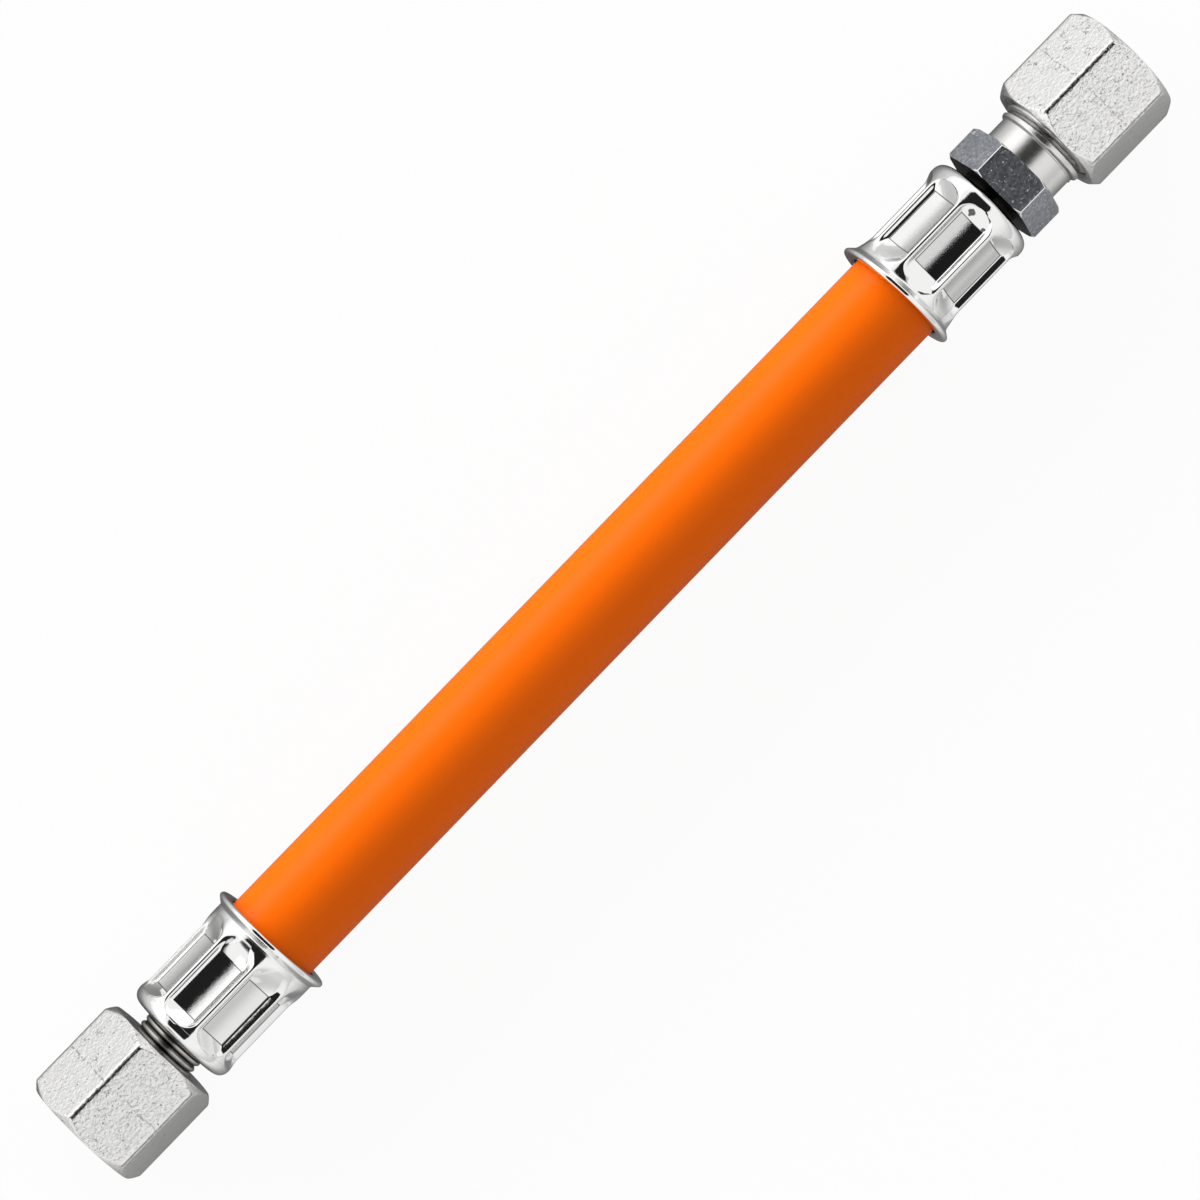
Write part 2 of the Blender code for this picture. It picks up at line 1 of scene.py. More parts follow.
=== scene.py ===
# %% [markdown]
# # A gas hose for a caravan regulator
#
# This file dresses a finished CAD assembly: an orange rubber hose with a pressed steel sleeve, a
# fitting and a hexagon nut at each end. The CAD model fixes where everything is and how it moves.
# Here each piece gets the fine shape and the finish that the eye reads.
#
# The hose lies along X. Each end has a frame of its own, whose +Z leads away from the hose and whose
# zero is at the mouth of the sleeve. The sizes below are in millimetres in that frame.

# %% Load the fixed assembly
import math

import bpy
import numpy as np
from mathutils import Matrix, Vector


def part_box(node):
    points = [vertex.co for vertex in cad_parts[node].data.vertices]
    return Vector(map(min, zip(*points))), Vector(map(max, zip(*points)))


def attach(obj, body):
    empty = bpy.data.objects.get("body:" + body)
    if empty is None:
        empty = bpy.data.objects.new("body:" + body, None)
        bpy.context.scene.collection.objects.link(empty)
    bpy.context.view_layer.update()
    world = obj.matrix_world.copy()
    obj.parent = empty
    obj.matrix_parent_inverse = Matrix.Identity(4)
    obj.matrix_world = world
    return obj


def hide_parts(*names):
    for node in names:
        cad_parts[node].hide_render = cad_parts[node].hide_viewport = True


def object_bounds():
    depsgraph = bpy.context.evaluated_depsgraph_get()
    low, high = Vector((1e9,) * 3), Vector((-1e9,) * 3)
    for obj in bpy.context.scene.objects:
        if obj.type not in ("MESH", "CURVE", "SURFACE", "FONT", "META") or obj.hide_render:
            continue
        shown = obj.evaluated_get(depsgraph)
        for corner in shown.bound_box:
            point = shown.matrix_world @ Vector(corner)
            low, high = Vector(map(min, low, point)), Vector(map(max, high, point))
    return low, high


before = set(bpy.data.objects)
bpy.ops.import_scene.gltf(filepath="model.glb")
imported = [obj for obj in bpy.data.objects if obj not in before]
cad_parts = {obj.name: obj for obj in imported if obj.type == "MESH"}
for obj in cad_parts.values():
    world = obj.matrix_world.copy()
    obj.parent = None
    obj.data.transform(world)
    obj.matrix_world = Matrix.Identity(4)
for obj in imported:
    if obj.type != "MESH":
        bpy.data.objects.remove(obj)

cad_low, cad_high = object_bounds()
MM = 0.001
print("CAD box", [round(v / MM, 2) for v in (*cad_low, *cad_high)])

# %% [markdown]
# ## Camera
#
# A long hose in a catalogue is seen from straight above through a long lens, and turned so that it
# runs from corner to corner of a square picture. The camera is a look-at frame made by hand: one
# axis along the hose, one across it, then both rolled in the picture plane. Writing the three axes
# out keeps the roll exact, which a tracking constraint would not.

# %% Camera above the middle of the hose
AIM = Vector((-1.3, 0, 0)) * MM
CAMERA_DISTANCE = 753.4 * MM
LEAN = math.radians(2.67)          # towards end B, away from the vertical
ROLL = math.radians(45.9)          # of the hose in the picture
LENS = 169.1

along = Vector((math.cos(LEAN), 0, math.sin(LEAN)))
across = Vector((0, 1, 0))
back = along.cross(across)
right = math.cos(ROLL) * along - math.sin(ROLL) * across
up = math.sin(ROLL) * along + math.cos(ROLL) * across

camera_data = bpy.data.cameras.new("studio_camera")
camera_data.lens = LENS
camera_data.sensor_width = 36
camera_data.clip_start = 0.05
camera_data.clip_end = 20
camera = bpy.data.objects.new("studio_camera", camera_data)
camera.matrix_world = Matrix.Translation(AIM + back * CAMERA_DISTANCE) @ Matrix(
    (right, up, back)).transposed().to_4x4()
bpy.context.scene.collection.objects.link(camera)
bpy.context.scene.camera = camera
bpy.context.scene.view_settings.view_transform = "Standard"
print("camera at", [round(v / MM, 1) for v in camera.matrix_world.translation], "mm")

# %% [markdown]
# ## Turned and pressed shapes
#
# Nearly every piece here is round or almost round, so one idea makes them all: a closed section of
# radius and height, swept round Z, whose radius may change with the angle. The section and the sweep
# both close on themselves, so the mesh is a watertight ring, and the lines of the grid can be laid
# exactly where an edge runs. A Screw modifier would be enough for a plain turned piece, but not for a
# hexagon with chamfers, a thread, or a sleeve with pressed pockets.
#
# A corner of the section is a row of (radius, height, softness, steps round it, steps after it).
# Softness is how far from the corner the rounding starts.

# %% Sections with rounded corners
MOST_OF_EDGE = 0.45                # of an edge's length that one rounded corner may take up


def section(corners):
    """Radii and heights of a closed section, one row for each step and one column for each angle."""
    width = max(np.size(value) for corner in corners for value in corner[:2])
    points = [np.stack([np.broadcast_to(np.asarray(v, float), (width,)) for v in corner[:2]])
              for corner in corners]
    rows = []
    for i, (here, corner) in enumerate(zip(points, corners)):
        soft, bend, run = corner[2:]
        before = points[i - 1] - here
        after = points[(i + 1) % len(points)] - here
        before_length = np.maximum(np.hypot(*before), 1e-9)
        after_length = np.maximum(np.hypot(*after), 1e-9)
        start = here + before * np.minimum(soft / before_length, MOST_OF_EDGE)
        end = here + after * np.minimum(soft / after_length, MOST_OF_EDGE)
        if soft:
            for u in np.linspace(0, 1, bend + 1):
                rows.append((1 - u) ** 2 * start + 2 * u * (1 - u) * here + u * u * end)
        else:
            rows.append(here)
            end = here
        following = points[(i + 1) % len(points)]
        next_soft = corners[(i + 1) % len(points)][2]
        stop = following - after * np.minimum(next_soft / after_length, MOST_OF_EDGE)
        for u in np.arange(1, run) / max(run, 1):
            rows.append(end + (stop - end) * u)
    rows = np.array(rows)
    return rows[:, 0], rows[:, 1]


def evenly_round(count):
    return np.arange(count) * math.tau / count


# %% A ring-shaped mesh from a grid of points
def ring_mesh(name, radius, height, angle, sharp=None):
    """A watertight ring: rows follow the section and columns go round Z. Sizes are in millimetres."""
    radius, height, angle = np.broadcast_arrays(radius, height, angle)
    points = np.stack([radius * np.cos(angle), radius * np.sin(angle), height], -1) * MM
    rows, columns = radius.shape
    index = np.arange(rows * columns).reshape(rows, columns)
    down = np.roll(index, -1, 0)
    faces = np.stack([index, np.roll(index, -1, 1), np.roll(down, -1, 1), down], -1).reshape(-1, 4)
    flat = points.reshape(-1, 3)
    a, b, c = (flat[faces[:, i]] for i in (0, 1, 2))
    volume = np.einsum("ij,ij->i", a, np.cross(b, c)).sum()
    if volume < 0:
        faces = faces[:, ::-1]
    mesh = bpy.data.meshes.new(name)
    mesh.from_pydata(flat.tolist(), [], faces.tolist())
    mesh.shade_smooth()
    if sharp:
        mesh.set_sharp_from_angle(angle=math.radians(sharp))
    made = bpy.data.objects.new(name, mesh)
    bpy.context.scene.collection.objects.link(made)
    print(f"{name}: {len(mesh.polygons)} faces")
    return made


# %% [markdown]
# ## Where the two ends are
#
# The sleeve's mouth is the zero of each end's frame, and the CAD boxes of the sleeves say where it
# is. The empty frames themselves are not needed: a piece simply takes the matrix of its end.

# %% The frames of both ends
a_low, a_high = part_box("ferrule_a")
b_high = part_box("ferrule_b")[1]
MOUTH_A, MOUTH_B = a_low[0] / MM, b_high[0] / MM
END_A = Matrix.Translation((a_low[0], 0, 0)) @ Matrix.Rotation(math.radians(90), 4, "Y")
END_B = Matrix.Translation((b_high[0], 0, 0)) @ Matrix.Rotation(math.radians(-90), 4, "Y")
SLEEVE_LENGTH = round((a_high[0] - a_low[0]) / MM, 4)
print("mouths at", round(MOUTH_A, 3), round(MOUTH_B, 3), "sleeve", SLEEVE_LENGTH)


def fit(piece, matrix, body, slot, finish, *nodes):
    """Place a piece, give it its finish and its body, and hide the CAD nodes it stands for. The slot is not
    used.
    """
    piece.matrix_world = matrix
    piece.data.materials.clear()
    piece.data.materials.append(finish)
    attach(piece, body)
    if nodes:
        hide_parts(*nodes)
    return piece


# %% [markdown]
# ## Studio
#
# Bright metal shows its surroundings more than itself, so it is laid in a white tent with a dark
# strip overhead, where the camera looks in. The strip draws one crisp black line on every rounded
# form, and the white around it keeps the rest clean. Here the world's colour is that tent, worked
# out from the direction alone. What metal mirrors and what lights the rubber are set apart: the
# walls mirror as plain white, while a low soft box on the +Y side does most of the lighting.
#
# Shader sums are easier to read as Python sums, so a small class wraps a socket and adds the Math
# nodes. Everything else goes through one method that takes a node's type, its settings and its
# inputs.

# %% A socket that does arithmetic
OBJECT_COORDINATES = 3             # place among the outputs of Texture Coordinate
HALF_TURN = math.pi


class Finish:
    """The node tree of a material or of the world."""

    def __init__(self, tree):
        self.tree = tree
        self.tree.nodes.clear()

    def node(self, kind, settings=None, values=None, out=0):
        """Add a node: its settings first, then the values or links of its sockets."""
        made = self.tree.nodes.new("ShaderNode" + kind)
        for name, value in (settings or {}).items():
            setattr(made, name, value)
        for key, value in (values or {}).items():
            if isinstance(value, Socket):
                self.tree.links.new(value.socket, made.inputs[key])
            else:
                made.inputs[key].default_value = value
        return Socket(self, made.outputs[out]) if made.outputs else made

    def mix(self, factor, first, second):
        """A colour between two colours."""
        return self.node("Mix", {"data_type": "RGBA"}, {0: factor, 6: colour(first), 7: colour(second)}, 2)

    def smooth(self, value, low, high, start=0.0, end=1.0):
        """A soft step of a value, from start at low to end at high."""
        return self.node("MapRange", {"interpolation_type": "SMOOTHSTEP"},
                         {0: value, 1: low, 2: high, 3: start, 4: end})

    def fade(self, value, low, high):
        """A soft step down, from 1 at low to 0 at high."""
        return 1 - self.smooth(value, low, high)

    def band(self, value, rise, fall):
        """1 between two soft edges. Each edge is the pair of values where it starts and ends."""
        return self.smooth(value, *rise) * self.fade(value, *fall)

    def parts(self, vector):
        """The three numbers of a vector."""
        first = self.node("SeparateXYZ", None, {0: vector})
        return [Socket(self, output) for output in first.socket.node.outputs]

    def millimetres(self):
        """The piece's own coordinates, in millimetres."""
        own = self.node("TexCoord", None, None, OBJECT_COORDINATES)
        return self.node("VectorMath", {"operation": "SCALE"}, {0: own, "Scale": 1 / MM})

    def rays(self, *kinds):
        """For each kind of ray, 1 where the surface is seen by such a ray."""
        path = self.node("LightPath").socket.node.outputs
        return [Socket(self, path[f"Is {kind} Ray"]) for kind in kinds]


def colour(value):
    """Pass a link on, and give a plain colour its fourth number."""
    return value if isinstance(value, Socket) else (*value, 1.0)


class Socket:
    """One output of a node. Arithmetic on it adds Math nodes."""

    def __init__(self, finish, socket):
        self.finish, self.socket = finish, socket

    def math(self, operation, *values):
        return self.finish.node("Math", {"operation": operation}, dict(enumerate((self, *values))))

    def turned_from(self, middle, half_turn=HALF_TURN):
        """The angle from a middle one, counted afresh every two half turns."""
        return (self - middle).math("WRAP", -half_turn, half_turn)

    def __add__(self, other):
        return self.math("ADD", other)

    def __sub__(self, other):
        return self.math("SUBTRACT", other)

    def __mul__(self, other):
        return self.math("MULTIPLY", other)

    def __rsub__(self, other):
        return self.finish.node("Math", {"operation": "SUBTRACT"}, {0: other, 1: self})

    __radd__ = __add__
    __rmul__ = __mul__


# %% The white tent with its dark strip
world = bpy.data.worlds.new("studio_tent")
bpy.context.scene.world = world
world.use_nodes = True
tent = Finish(world.node_tree)
direction = tent.parts(tent.node("TexCoord"))
side = direction[1].math("ARCTAN2", direction[2])          # 0 is overhead, positive towards +Y
end_on = direction[0].math("ABSOLUTE")                     # 1 looks straight along the hose

# An edge is the pair of values between which the light changes.
STRIP_EDGES = (math.radians(-18), math.radians(-15)), (math.radians(33), math.radians(36))
STRIP_END = 0.68, 0.78
BLACK = 0.985                      # share of the light that the strip takes away
strip = tent.band(side, *STRIP_EDGES) * tent.fade(end_on, *STRIP_END)

WALL, BRIGHTER, DIMMER = 0.95, 0.35, 0.34      # the walls, and how far each differs from plain
BRIGHT_EDGES = (math.radians(40), math.radians(48)), (math.radians(70), math.radians(88))
DIM_EDGE = math.radians(-42), math.radians(-92)
mirrored = (WALL + BRIGHTER * tent.band(side, *BRIGHT_EDGES)
            - tent.smooth(side, *DIM_EDGE, 0.0, DIMMER)) * (1 - BLACK * strip)

FILL, BOX = 0.6, 4.6               # light from all round, and from the soft box
BOX_EDGE = math.radians(55), math.radians(62)
BOX_END = 0.8, 0.95
lighting = FILL + tent.smooth(side, *BOX_EDGE) * tent.fade(end_on, *BOX_END) * BOX

for_camera, for_mirror = tent.rays("Camera", "Glossy")
brightness = for_camera + for_mirror * mirrored + (1 - for_camera - for_mirror) * lighting
backdrop = tent.node("Background", None, {"Color": (1, 1, 1, 1), "Strength": brightness})
tent.node("OutputWorld", None, {"Surface": backdrop})
print("tent nodes:", len(world.node_tree.nodes))

# %% [markdown]
# ## Floor
#
# The floor is a plain pale sheet just under the nuts' lowest corners. The camera sees it as white
# paper with a faint shadow. For the light itself it is greyer close to the hose, as paper is in the
# shade of what lies on it. In mirrors it mostly glows by itself, again less so near the hose, so that
# rounded metal darkens softly towards its edges.

# %% Pale floor
FLOOR_SIZE = 3.0
FLOOR_DROP = 0.05 * MM
floor_mesh = bpy.data.meshes.new("studio_floor")
reach = FLOOR_SIZE / 2
floor_mesh.from_pydata([(-reach, -reach, 0), (reach, -reach, 0), (reach, reach, 0), (-reach, reach, 0)],
                       [], [(0, 1, 2, 3)])
studio_floor = bpy.data.objects.new("studio_floor", floor_mesh)
studio_floor.location.z = cad_low[2] - FLOOR_DROP
bpy.context.scene.collection.objects.link(studio_floor)
print("floor at", round(studio_floor.location.z / MM, 3), "mm")

# %% White paper, which glows by itself for the camera and in mirrors
HOSE_REACH = 100                   # half the length over which the floor is shaded
WHITE_SHARE, MIRROR_SHARE = 0.93, 0.7     # how much of the glow the camera and a mirror see
PAPER_FOR_CAMERA = 0.9
PAPER_SHADE = 25, 100, 0.45, 0.95  # from, to, and the tone at each
MIRROR_SHADE = 2, 40, 0.02, 0.7
MIRROR_TILT = -12, 12, 0.09, -0.09        # brighter on the -Y side

paper = bpy.data.materials.new("white_paper")
paper.use_nodes = True
sheet = Finish(paper.node_tree)
camera_ray, glossy_ray, through_ray = sheet.rays("Camera", "Glossy", "Transmission")
mirror_ray = glossy_ray + through_ray
spot = sheet.parts(sheet.millimetres())
past_end = (spot[0].math("ABSOLUTE") - HOSE_REACH).math("MAXIMUM", 0)
away = (spot[1] * spot[1] + past_end * past_end).math("SQRT")
shade = sheet.smooth(away, *PAPER_SHADE) * (1 - camera_ray) + PAPER_FOR_CAMERA * camera_ray
lit = sheet.node("BsdfDiffuse", None, {"Color": sheet.mix(shade, (0, 0, 0), (1, 1, 1))})
near = sheet.smooth(away, *MIRROR_SHADE) + sheet.smooth(spot[1], *MIRROR_TILT)
glow = sheet.node("Emission", None, {
    "Color": (1, 1, 1, 1), "Strength": near * mirror_ray + (1 - mirror_ray)})
clean = camera_ray * WHITE_SHARE + mirror_ray * MIRROR_SHARE
sheet.node("OutputMaterial", None, {"Surface": sheet.node("MixShader", None, {0: clean, 1: lit, 2: glow})})
floor_mesh.materials.append(paper)
print("white paper:", len(paper.node_tree.nodes), "nodes")

# %% [markdown]
# ## Finishes
#
# All finishes share a start: the piece's own coordinates in millimetres, so that grain and scratches
# have their real size and travel with the piece when it moves, and a Principled shader.

# %% A shader with coordinates in millimetres
def start_finish(name):
    """A new material, its tree, and the piece's own coordinates in millimetres."""
    made = bpy.data.materials.new(name)
    made.use_nodes = True
    finish = Finish(made.node_tree)
    return made, finish, finish.millimetres()


def round_axis(finish, mm):
    """Where a point is round its piece's Z axis: its angle from +X, its distance and its height."""
    x, y, z = finish.parts(mm)
    return y.math("ARCTAN2", x), (x * x + y * y).math("SQRT"), z


def stretched(finish, where, factors):
    """Coordinates drawn out along an axis, where its factor is small."""
    return finish.node("VectorMath", {"operation": "MULTIPLY"}, {0: where, 1: factors})


def noise(finish, where, scale, detail=2.0, roughness=0.5):
    """Soft noise between 0 and 1, with scale in features for each millimetre."""
    return finish.node("TexNoise", None, {
        "Vector": where, "Scale": scale, "Detail": detail, "Roughness": roughness})


def bump(finish, height, depth, under=None):
    """A Bump node for a height between 0 and 1 that stands for depth in millimetres."""
    values = {"Height": height, "Distance": depth * MM, "Strength": 1.0}
    if under is not None:
        values["Normal"] = under
    return finish.node("Bump", None, values)


def close_finish(finish, **values):
    """Feed the Principled shader and the output. Underscores in the names stand for spaces."""
    shader = finish.node("BsdfPrincipled", None, {
        name.replace("_", " "): value for name, value in values.items()})
    finish.node("OutputMaterial", None, {"Surface": shader})


# %% [markdown]
# ### Orange rubber
#
# The cover is extruded rubber with a satin skin. It has a very fine grain, slightly drawn out along
# the hose, and a slow drift of colour.

# %% Orange rubber
orange_rubber, rubber, mm = start_finish("orange_rubber")
grain = noise(rubber, stretched(rubber, mm, (0.35, 1.0, 1.0)), 2.6, 3.0, 0.6)
drift = noise(rubber, mm, 0.06, 2.0)
skin = rubber.mix(drift, (0.87, 0.128, 0.0002), (0.90, 0.138, 0.0004))
fine = rubber.smooth(grain, 0.3, 0.75)
skin = rubber.mix(fine * 0.12, skin, (0.78, 0.105, 0.0002))
close_finish(
    rubber, Base_Color=skin, Roughness=rubber.smooth(grain, 0.2, 0.8, 0.24, 0.32),
    Normal=bump(rubber, grain, 0.012), Specular_IOR_Level=0.075)
print("orange rubber:", len(orange_rubber.node_tree.nodes), "nodes")

# %% [markdown]
# ### Bright plating
#
# The sleeves are deep drawn from sheet, plated bright, and then crimped. The plating is a mirror with
# a slight ripple. In the floors of the pockets the press tool has pulled the sheet to a satin grain,
# and shade is painted dark into the crease round each floor. The floor is found from the geometry:
# it is the part that lies on the plane of the press tool's face, at one distance from the axis.
#
# The press leaves wear too. Along one strip the walls have lost their shine, and past the end of a
# pocket the jaws left dark spots. Inside the throat and behind the lip hardly any light arrives, so
# the metal is made dark there.

# %% Sizes of the pockets
POCKETS = 8
PITCH_ANGLE = math.tau / POCKETS
HALF_PITCH = PITCH_ANGLE / 2
POCKET_FLOOR = 6.7                 # from the sleeve's axis to the floor
FLOOR_HALF_WIDTH = 1.97
FLOOR_HALF_LENGTH = 4.45
POCKET_MIDDLE_A = 9.25
POCKET_MIDDLE_B = 9.85
CLOCK_A = math.radians(5.0)        # of the first pocket, about +X from straight up
CLOCK_B = math.radians(-15.0)
print(POCKETS, "pockets of", 2 * FLOOR_HALF_LENGTH, "by", 2 * FLOOR_HALF_WIDTH, "mm")

# %% Bright plating
PLATE_TONES = (0.90, 0.90, 0.895), (0.95, 0.95, 0.945)
# painted shade for the crease round each floor; the jaws' dark spots take the same colour
CREASE_SHADE_AND_MARK_TONE = (0.05, 0.048, 0.045)
INSIDE_TONE = (0.03, 0.03, 0.03)
FLOOR_LEVEL = 7.2, 7.35            # distances from the axis between which floor turns to wall
SCUFF_HALF_ANGLE = 0.09, 0.13      # of the strip whose walls lost their shine, in radians
MARK_EDGE = 0.08                   # softness of the jaws' spots
CALM = 1.4, 3.0                    # heights between which the ripple starts, clear of the flare


def press_marks(plating, marks, across, past, ragged):
    """Dark spots, each given as its place across and past the floor, and its size."""
    spots = 0.0
    for place, beyond, size in marks:
        dx, dz = across - place, past - beyond
        far = (dx * dx + dz * dz).math("SQRT") + (ragged - 0.5) * 0.7
        spots = spots + plating.fade(far, size - MARK_EDGE, size)
    return spots


def bright_plating(name, clock, middle, scuffed, marks, floor_tones):
    """Plating for a sleeve whose first pocket faces the angle clock, in radians from +X, and whose
    pockets' middle is at the height middle. The strip of wall at the angle scuffed has lost its shine.
    Marks are spots past the first pocket's floor, and floor tones the two shades of its grain."""
    made, plating, mm = start_finish(name)
    around, radius, z = round_axis(plating, mm)
    off_middle = around.turned_from(clock, HALF_PITCH)
    sideways = radius * off_middle.math("SINE")
    past_side = sideways.math("ABSOLUTE") - FLOOR_HALF_WIDTH
    past_end = (z - middle).math("ABSOLUTE") - FLOOR_HALF_LENGTH
    from_edge = past_side.math("MAXIMUM", past_end)
    low = plating.fade(radius * off_middle.math("COSINE"), *FLOOR_LEVEL)
    floor = plating.fade(from_edge, -0.06, 0.02) * low
    crease = plating.band(from_edge, (-0.11, -0.05), (0.03, 0.09)) * low
    fold = plating.band(z, (0.55, 0.8), (1.6, 1.75)) * plating.smooth(radius, 8.0, 8.1)
    lip_inside = plating.smooth(z, 17.9, 17.97) * plating.fade(radius, 5.9, 6.4)
    throat = plating.fade(radius, 7.26, 7.4) * plating.fade(z, 1.5, 1.8)
    scuff = plating.fade(around.turned_from(scuffed).math("ABSOLUTE"), *SCUFF_HALF_ANGLE)
    scuff = scuff * plating.smooth(past_end, 1.2, 0.6) * plating.smooth(radius, 7.25, 7.4)
    ripple, shiver = noise(plating, mm, 0.22, 1.0), noise(plating, mm, 0.9, 2.0)
    grain = noise(plating, mm, 7.0, 3.0, 0.65)
    cloud = noise(plating, mm, 0.9, 3.0, 0.6)
    tone = plating.mix(cloud, *PLATE_TONES)
    tone = plating.mix(floor, tone, plating.mix(grain, *floor_tones))
    # The dark line in each floor's crease is painted shade.
    dark = crease * 0.85
    if marks:
        first = plating.fade(around.turned_from(clock).math("ABSOLUTE"), HALF_PITCH, HALF_PITCH + 0.02)
        ragged = noise(plating, mm, 1.6, 2.0, 0.5)
        spots = press_marks(plating, marks, sideways, z - middle - FLOOR_HALF_LENGTH, ragged)
        dark = dark.math("MAXIMUM", spots * first * 0.9)
    tone = plating.mix(dark, tone, CREASE_SHADE_AND_MARK_TONE)
    tone = plating.mix(lip_inside.math("MAXIMUM", throat), tone, INSIDE_TONE)
    calm = plating.smooth(z, *CALM)
    waves = bump(plating, shiver * calm, 0.012, bump(plating, ripple * calm, 0.05))
    satin = floor * (grain * 0.05 - 0.01) + crease * 0.2 + fold * 0.14 + scuff * 0.5
    close_finish(
        plating, Base_Color=tone, Metallic=1.0,
        Roughness=plating.smooth(cloud, 0.3, 0.7, 0.05, 0.08) + satin,
        Normal=bump(plating, grain * floor, 0.016, waves))
    return made


MARKS_A = (-1.0, 0.85, 0.5), (1.65, 0.3, 0.34)
SATIN_A = (0.60, 0.60, 0.595), (0.80, 0.80, 0.795)
SATIN_B = (0.74, 0.74, 0.735), (0.92, 0.92, 0.915)
SCUFFED_A, SCUFFED_B = 0.0, math.radians(80)
plating_a = bright_plating(
    "bright_plating", math.pi + CLOCK_A, POCKET_MIDDLE_A, SCUFFED_A, MARKS_A, SATIN_A)
plating_b = bright_plating("bright_plating_b", -CLOCK_B, POCKET_MIDDLE_B, SCUFFED_B, (), SATIN_B)
print("bright plating:", len(plating_a.node_tree.nodes), "nodes")

# %% [markdown]
# ### Forged nut
#
# The nuts are forged and zinc plated. The skin is a pale satin with a fine grain, shallow pits and
# thin cracks from scale that was forged in, and short scratches from the box they were shipped in. A
# faint seam runs round the middle, where the two halves of the forging die met. The ridges between
# the flats are smoother, and the jagged dark line along them is a painted reflection of the dark
# strip overhead.

# %% Forged zinc
NUT_FLATS = 17.0
NUT_LENGTH = 15.4
NUT_CLOCK = math.radians(14.1)
NUT_RIDGE = 1.0                    # radius of the rounding between two flats
SIXTH = math.pi / 6                # half the angle that one flat takes
RIDGE_START = (NUT_FLATS / 2 - NUT_RIDGE) * math.tan(SIXTH) + NUT_RIDGE / 2


def forged_zinc(name, clock, pale, dark):
    """Zinc for a nut with a flat that faces the angle clock."""
    made, zinc, mm = start_finish(name)
    around, radius, z = round_axis(zinc, mm)
    lateral = (radius * around.turned_from(clock, SIXTH).math("SINE")).math("ABSOLUTE")
    cloud = noise(zinc, mm, 0.5, 4.0, 0.6)
    grain = noise(zinc, mm, 6.0, 3.0, 0.65)
    mottle = noise(zinc, mm, 2.4, 3.0, 0.6)
    hammered = noise(zinc, mm, 2.1, 3.0, 0.55)
    wander = noise(zinc, mm, 0.7, 3.0, 0.6)
    veins = (noise(zinc, mm, 1.3, 2.0, 0.5) - 0.5).math("ABSOLUTE")
    cracks = zinc.fade(veins, 0.008, 0.02) * zinc.smooth(noise(zinc, mm, 0.8, 2.0), 0.56, 0.62)
    cells = zinc.node("TexVoronoi", None, {"Vector": mm, "Scale": 1.2, "Randomness": 1.0})
    pits = zinc.fade(cells, 0.08, 0.2) * zinc.smooth(cloud, 0.5, 0.6)
    pits = pits.math("MAXIMUM", cracks * zinc.smooth(grain, 0.42, 0.52))
    scratch = zinc.smooth(noise(zinc, stretched(zinc, mm, (1.0, 0.22, 3.2)), 1.6, 2.0, 0.7), 0.66, 0.72)
    from_seam = (z - NUT_LENGTH / 2 + (wander - 0.5) * 1.2).math("ABSOLUTE")
    seam = zinc.fade(from_seam, 0.04, 0.22) * zinc.smooth(mottle, 0.47, 0.6)
    jagged = lateral + (grain - 0.5) * 0.25 + (hammered - 0.5) * 0.5
    on_ridge = zinc.smooth(jagged, RIDGE_START - 0.42, RIDGE_START - 0.34)
    # A jagged dark line along each ridge: a painted reflection of the tent's dark strip.
    wear_and_painted_reflection = zinc.smooth(jagged, RIDGE_START - 0.17, RIDGE_START - 0.1) * (1 - seam)
    tone = zinc.mix(cloud, pale, tuple(v * 0.95 for v in pale))
    tone = zinc.mix(zinc.smooth(mottle, 0.34, 0.66, 0.0, 0.1), tone, dark)
    # Pits and the seam darken the zinc; the ridge's dark line here is a painted reflection.
    tone = zinc.mix((pits * 0.75).math("MAXIMUM", seam * 0.3).math("MAXIMUM", wear_and_painted_reflection * 0.7), tone, dark)
    tone = zinc.mix(scratch * 0.2, tone, dark)
    skin = bump(zinc, grain, 0.022, bump(zinc, hammered, 0.085))
    close_finish(
        zinc, Base_Color=tone, Metallic=1.0,
        Roughness=zinc.smooth(cloud, 0.3, 0.7, 0.19, 0.25) - on_ridge * 0.12,
        Normal=bump(zinc, 1 - pits.math("MAXIMUM", seam), 0.07, skin))
    return made


NUT_DARK = (0.20, 0.19, 0.18)
zinc_a = forged_zinc("forged_zinc", math.pi + NUT_CLOCK, (0.97, 0.965, 0.955), NUT_DARK)
# Nut B's zinc is nut A's with a darker pale tone: a shaded copy of the one finish, painted shade.
zinc_b = forged_zinc("forged_zinc_b_shaded", -NUT_CLOCK, (0.915, 0.91, 0.90), NUT_DARK)
print("forged zinc:", len(zinc_a.node_tree.nodes), "nodes")

# %% [markdown]
# ### Turned steel
#
# The stud and the tail are turned from bar. The hexagon keeps the bar's blue-grey zinc, with tiny
# pale specks and hairline scratches. Its ridges and the borders of its flats are rubbed bright: they
# are where the surface just leaves the plane of the nearest flat. The neck and the thread are freshly
# cut, so they are brighter and show fine rings from the tool, which are noise read along the axis
# only. Shade is painted dark into the grooves and into the gap behind the hexagon, and the tail's
# neck is painted darker for the shade of the nut and the sleeve around it.

# %% Turned steel
STUD_FLATS = 14.0
STUD_CLOCK = math.radians(2.7)
STUD_HEX = 18.85, 24.15            # heights of the stud's hexagon
BAR_TONES = (0.30, 0.315, 0.345), (0.50, 0.52, 0.56)
BAR_CLOUD = (0.30, 0.315, 0.34)
SPECK_TONE = (0.97, 0.98, 1.0)
RUBBED_TONE = (0.99, 0.99, 1.0)
# painted shade for the gap behind the hexagon and for the grooves
PAINTED_SHADE_TONE = (0.015, 0.013, 0.012)
BORDER = (0.003, 0.008), (0.12, 0.2)      # how far inside the flats' plane a border starts and ends
SCRATCH_ANGLE = 0.9
GAP_START = 16.4, 16.6             # heights where the painted shade in the gap behind the hexagon starts
GAP_EDGE = 7.3, 7.9                # distances from the axis where that painted shade ends
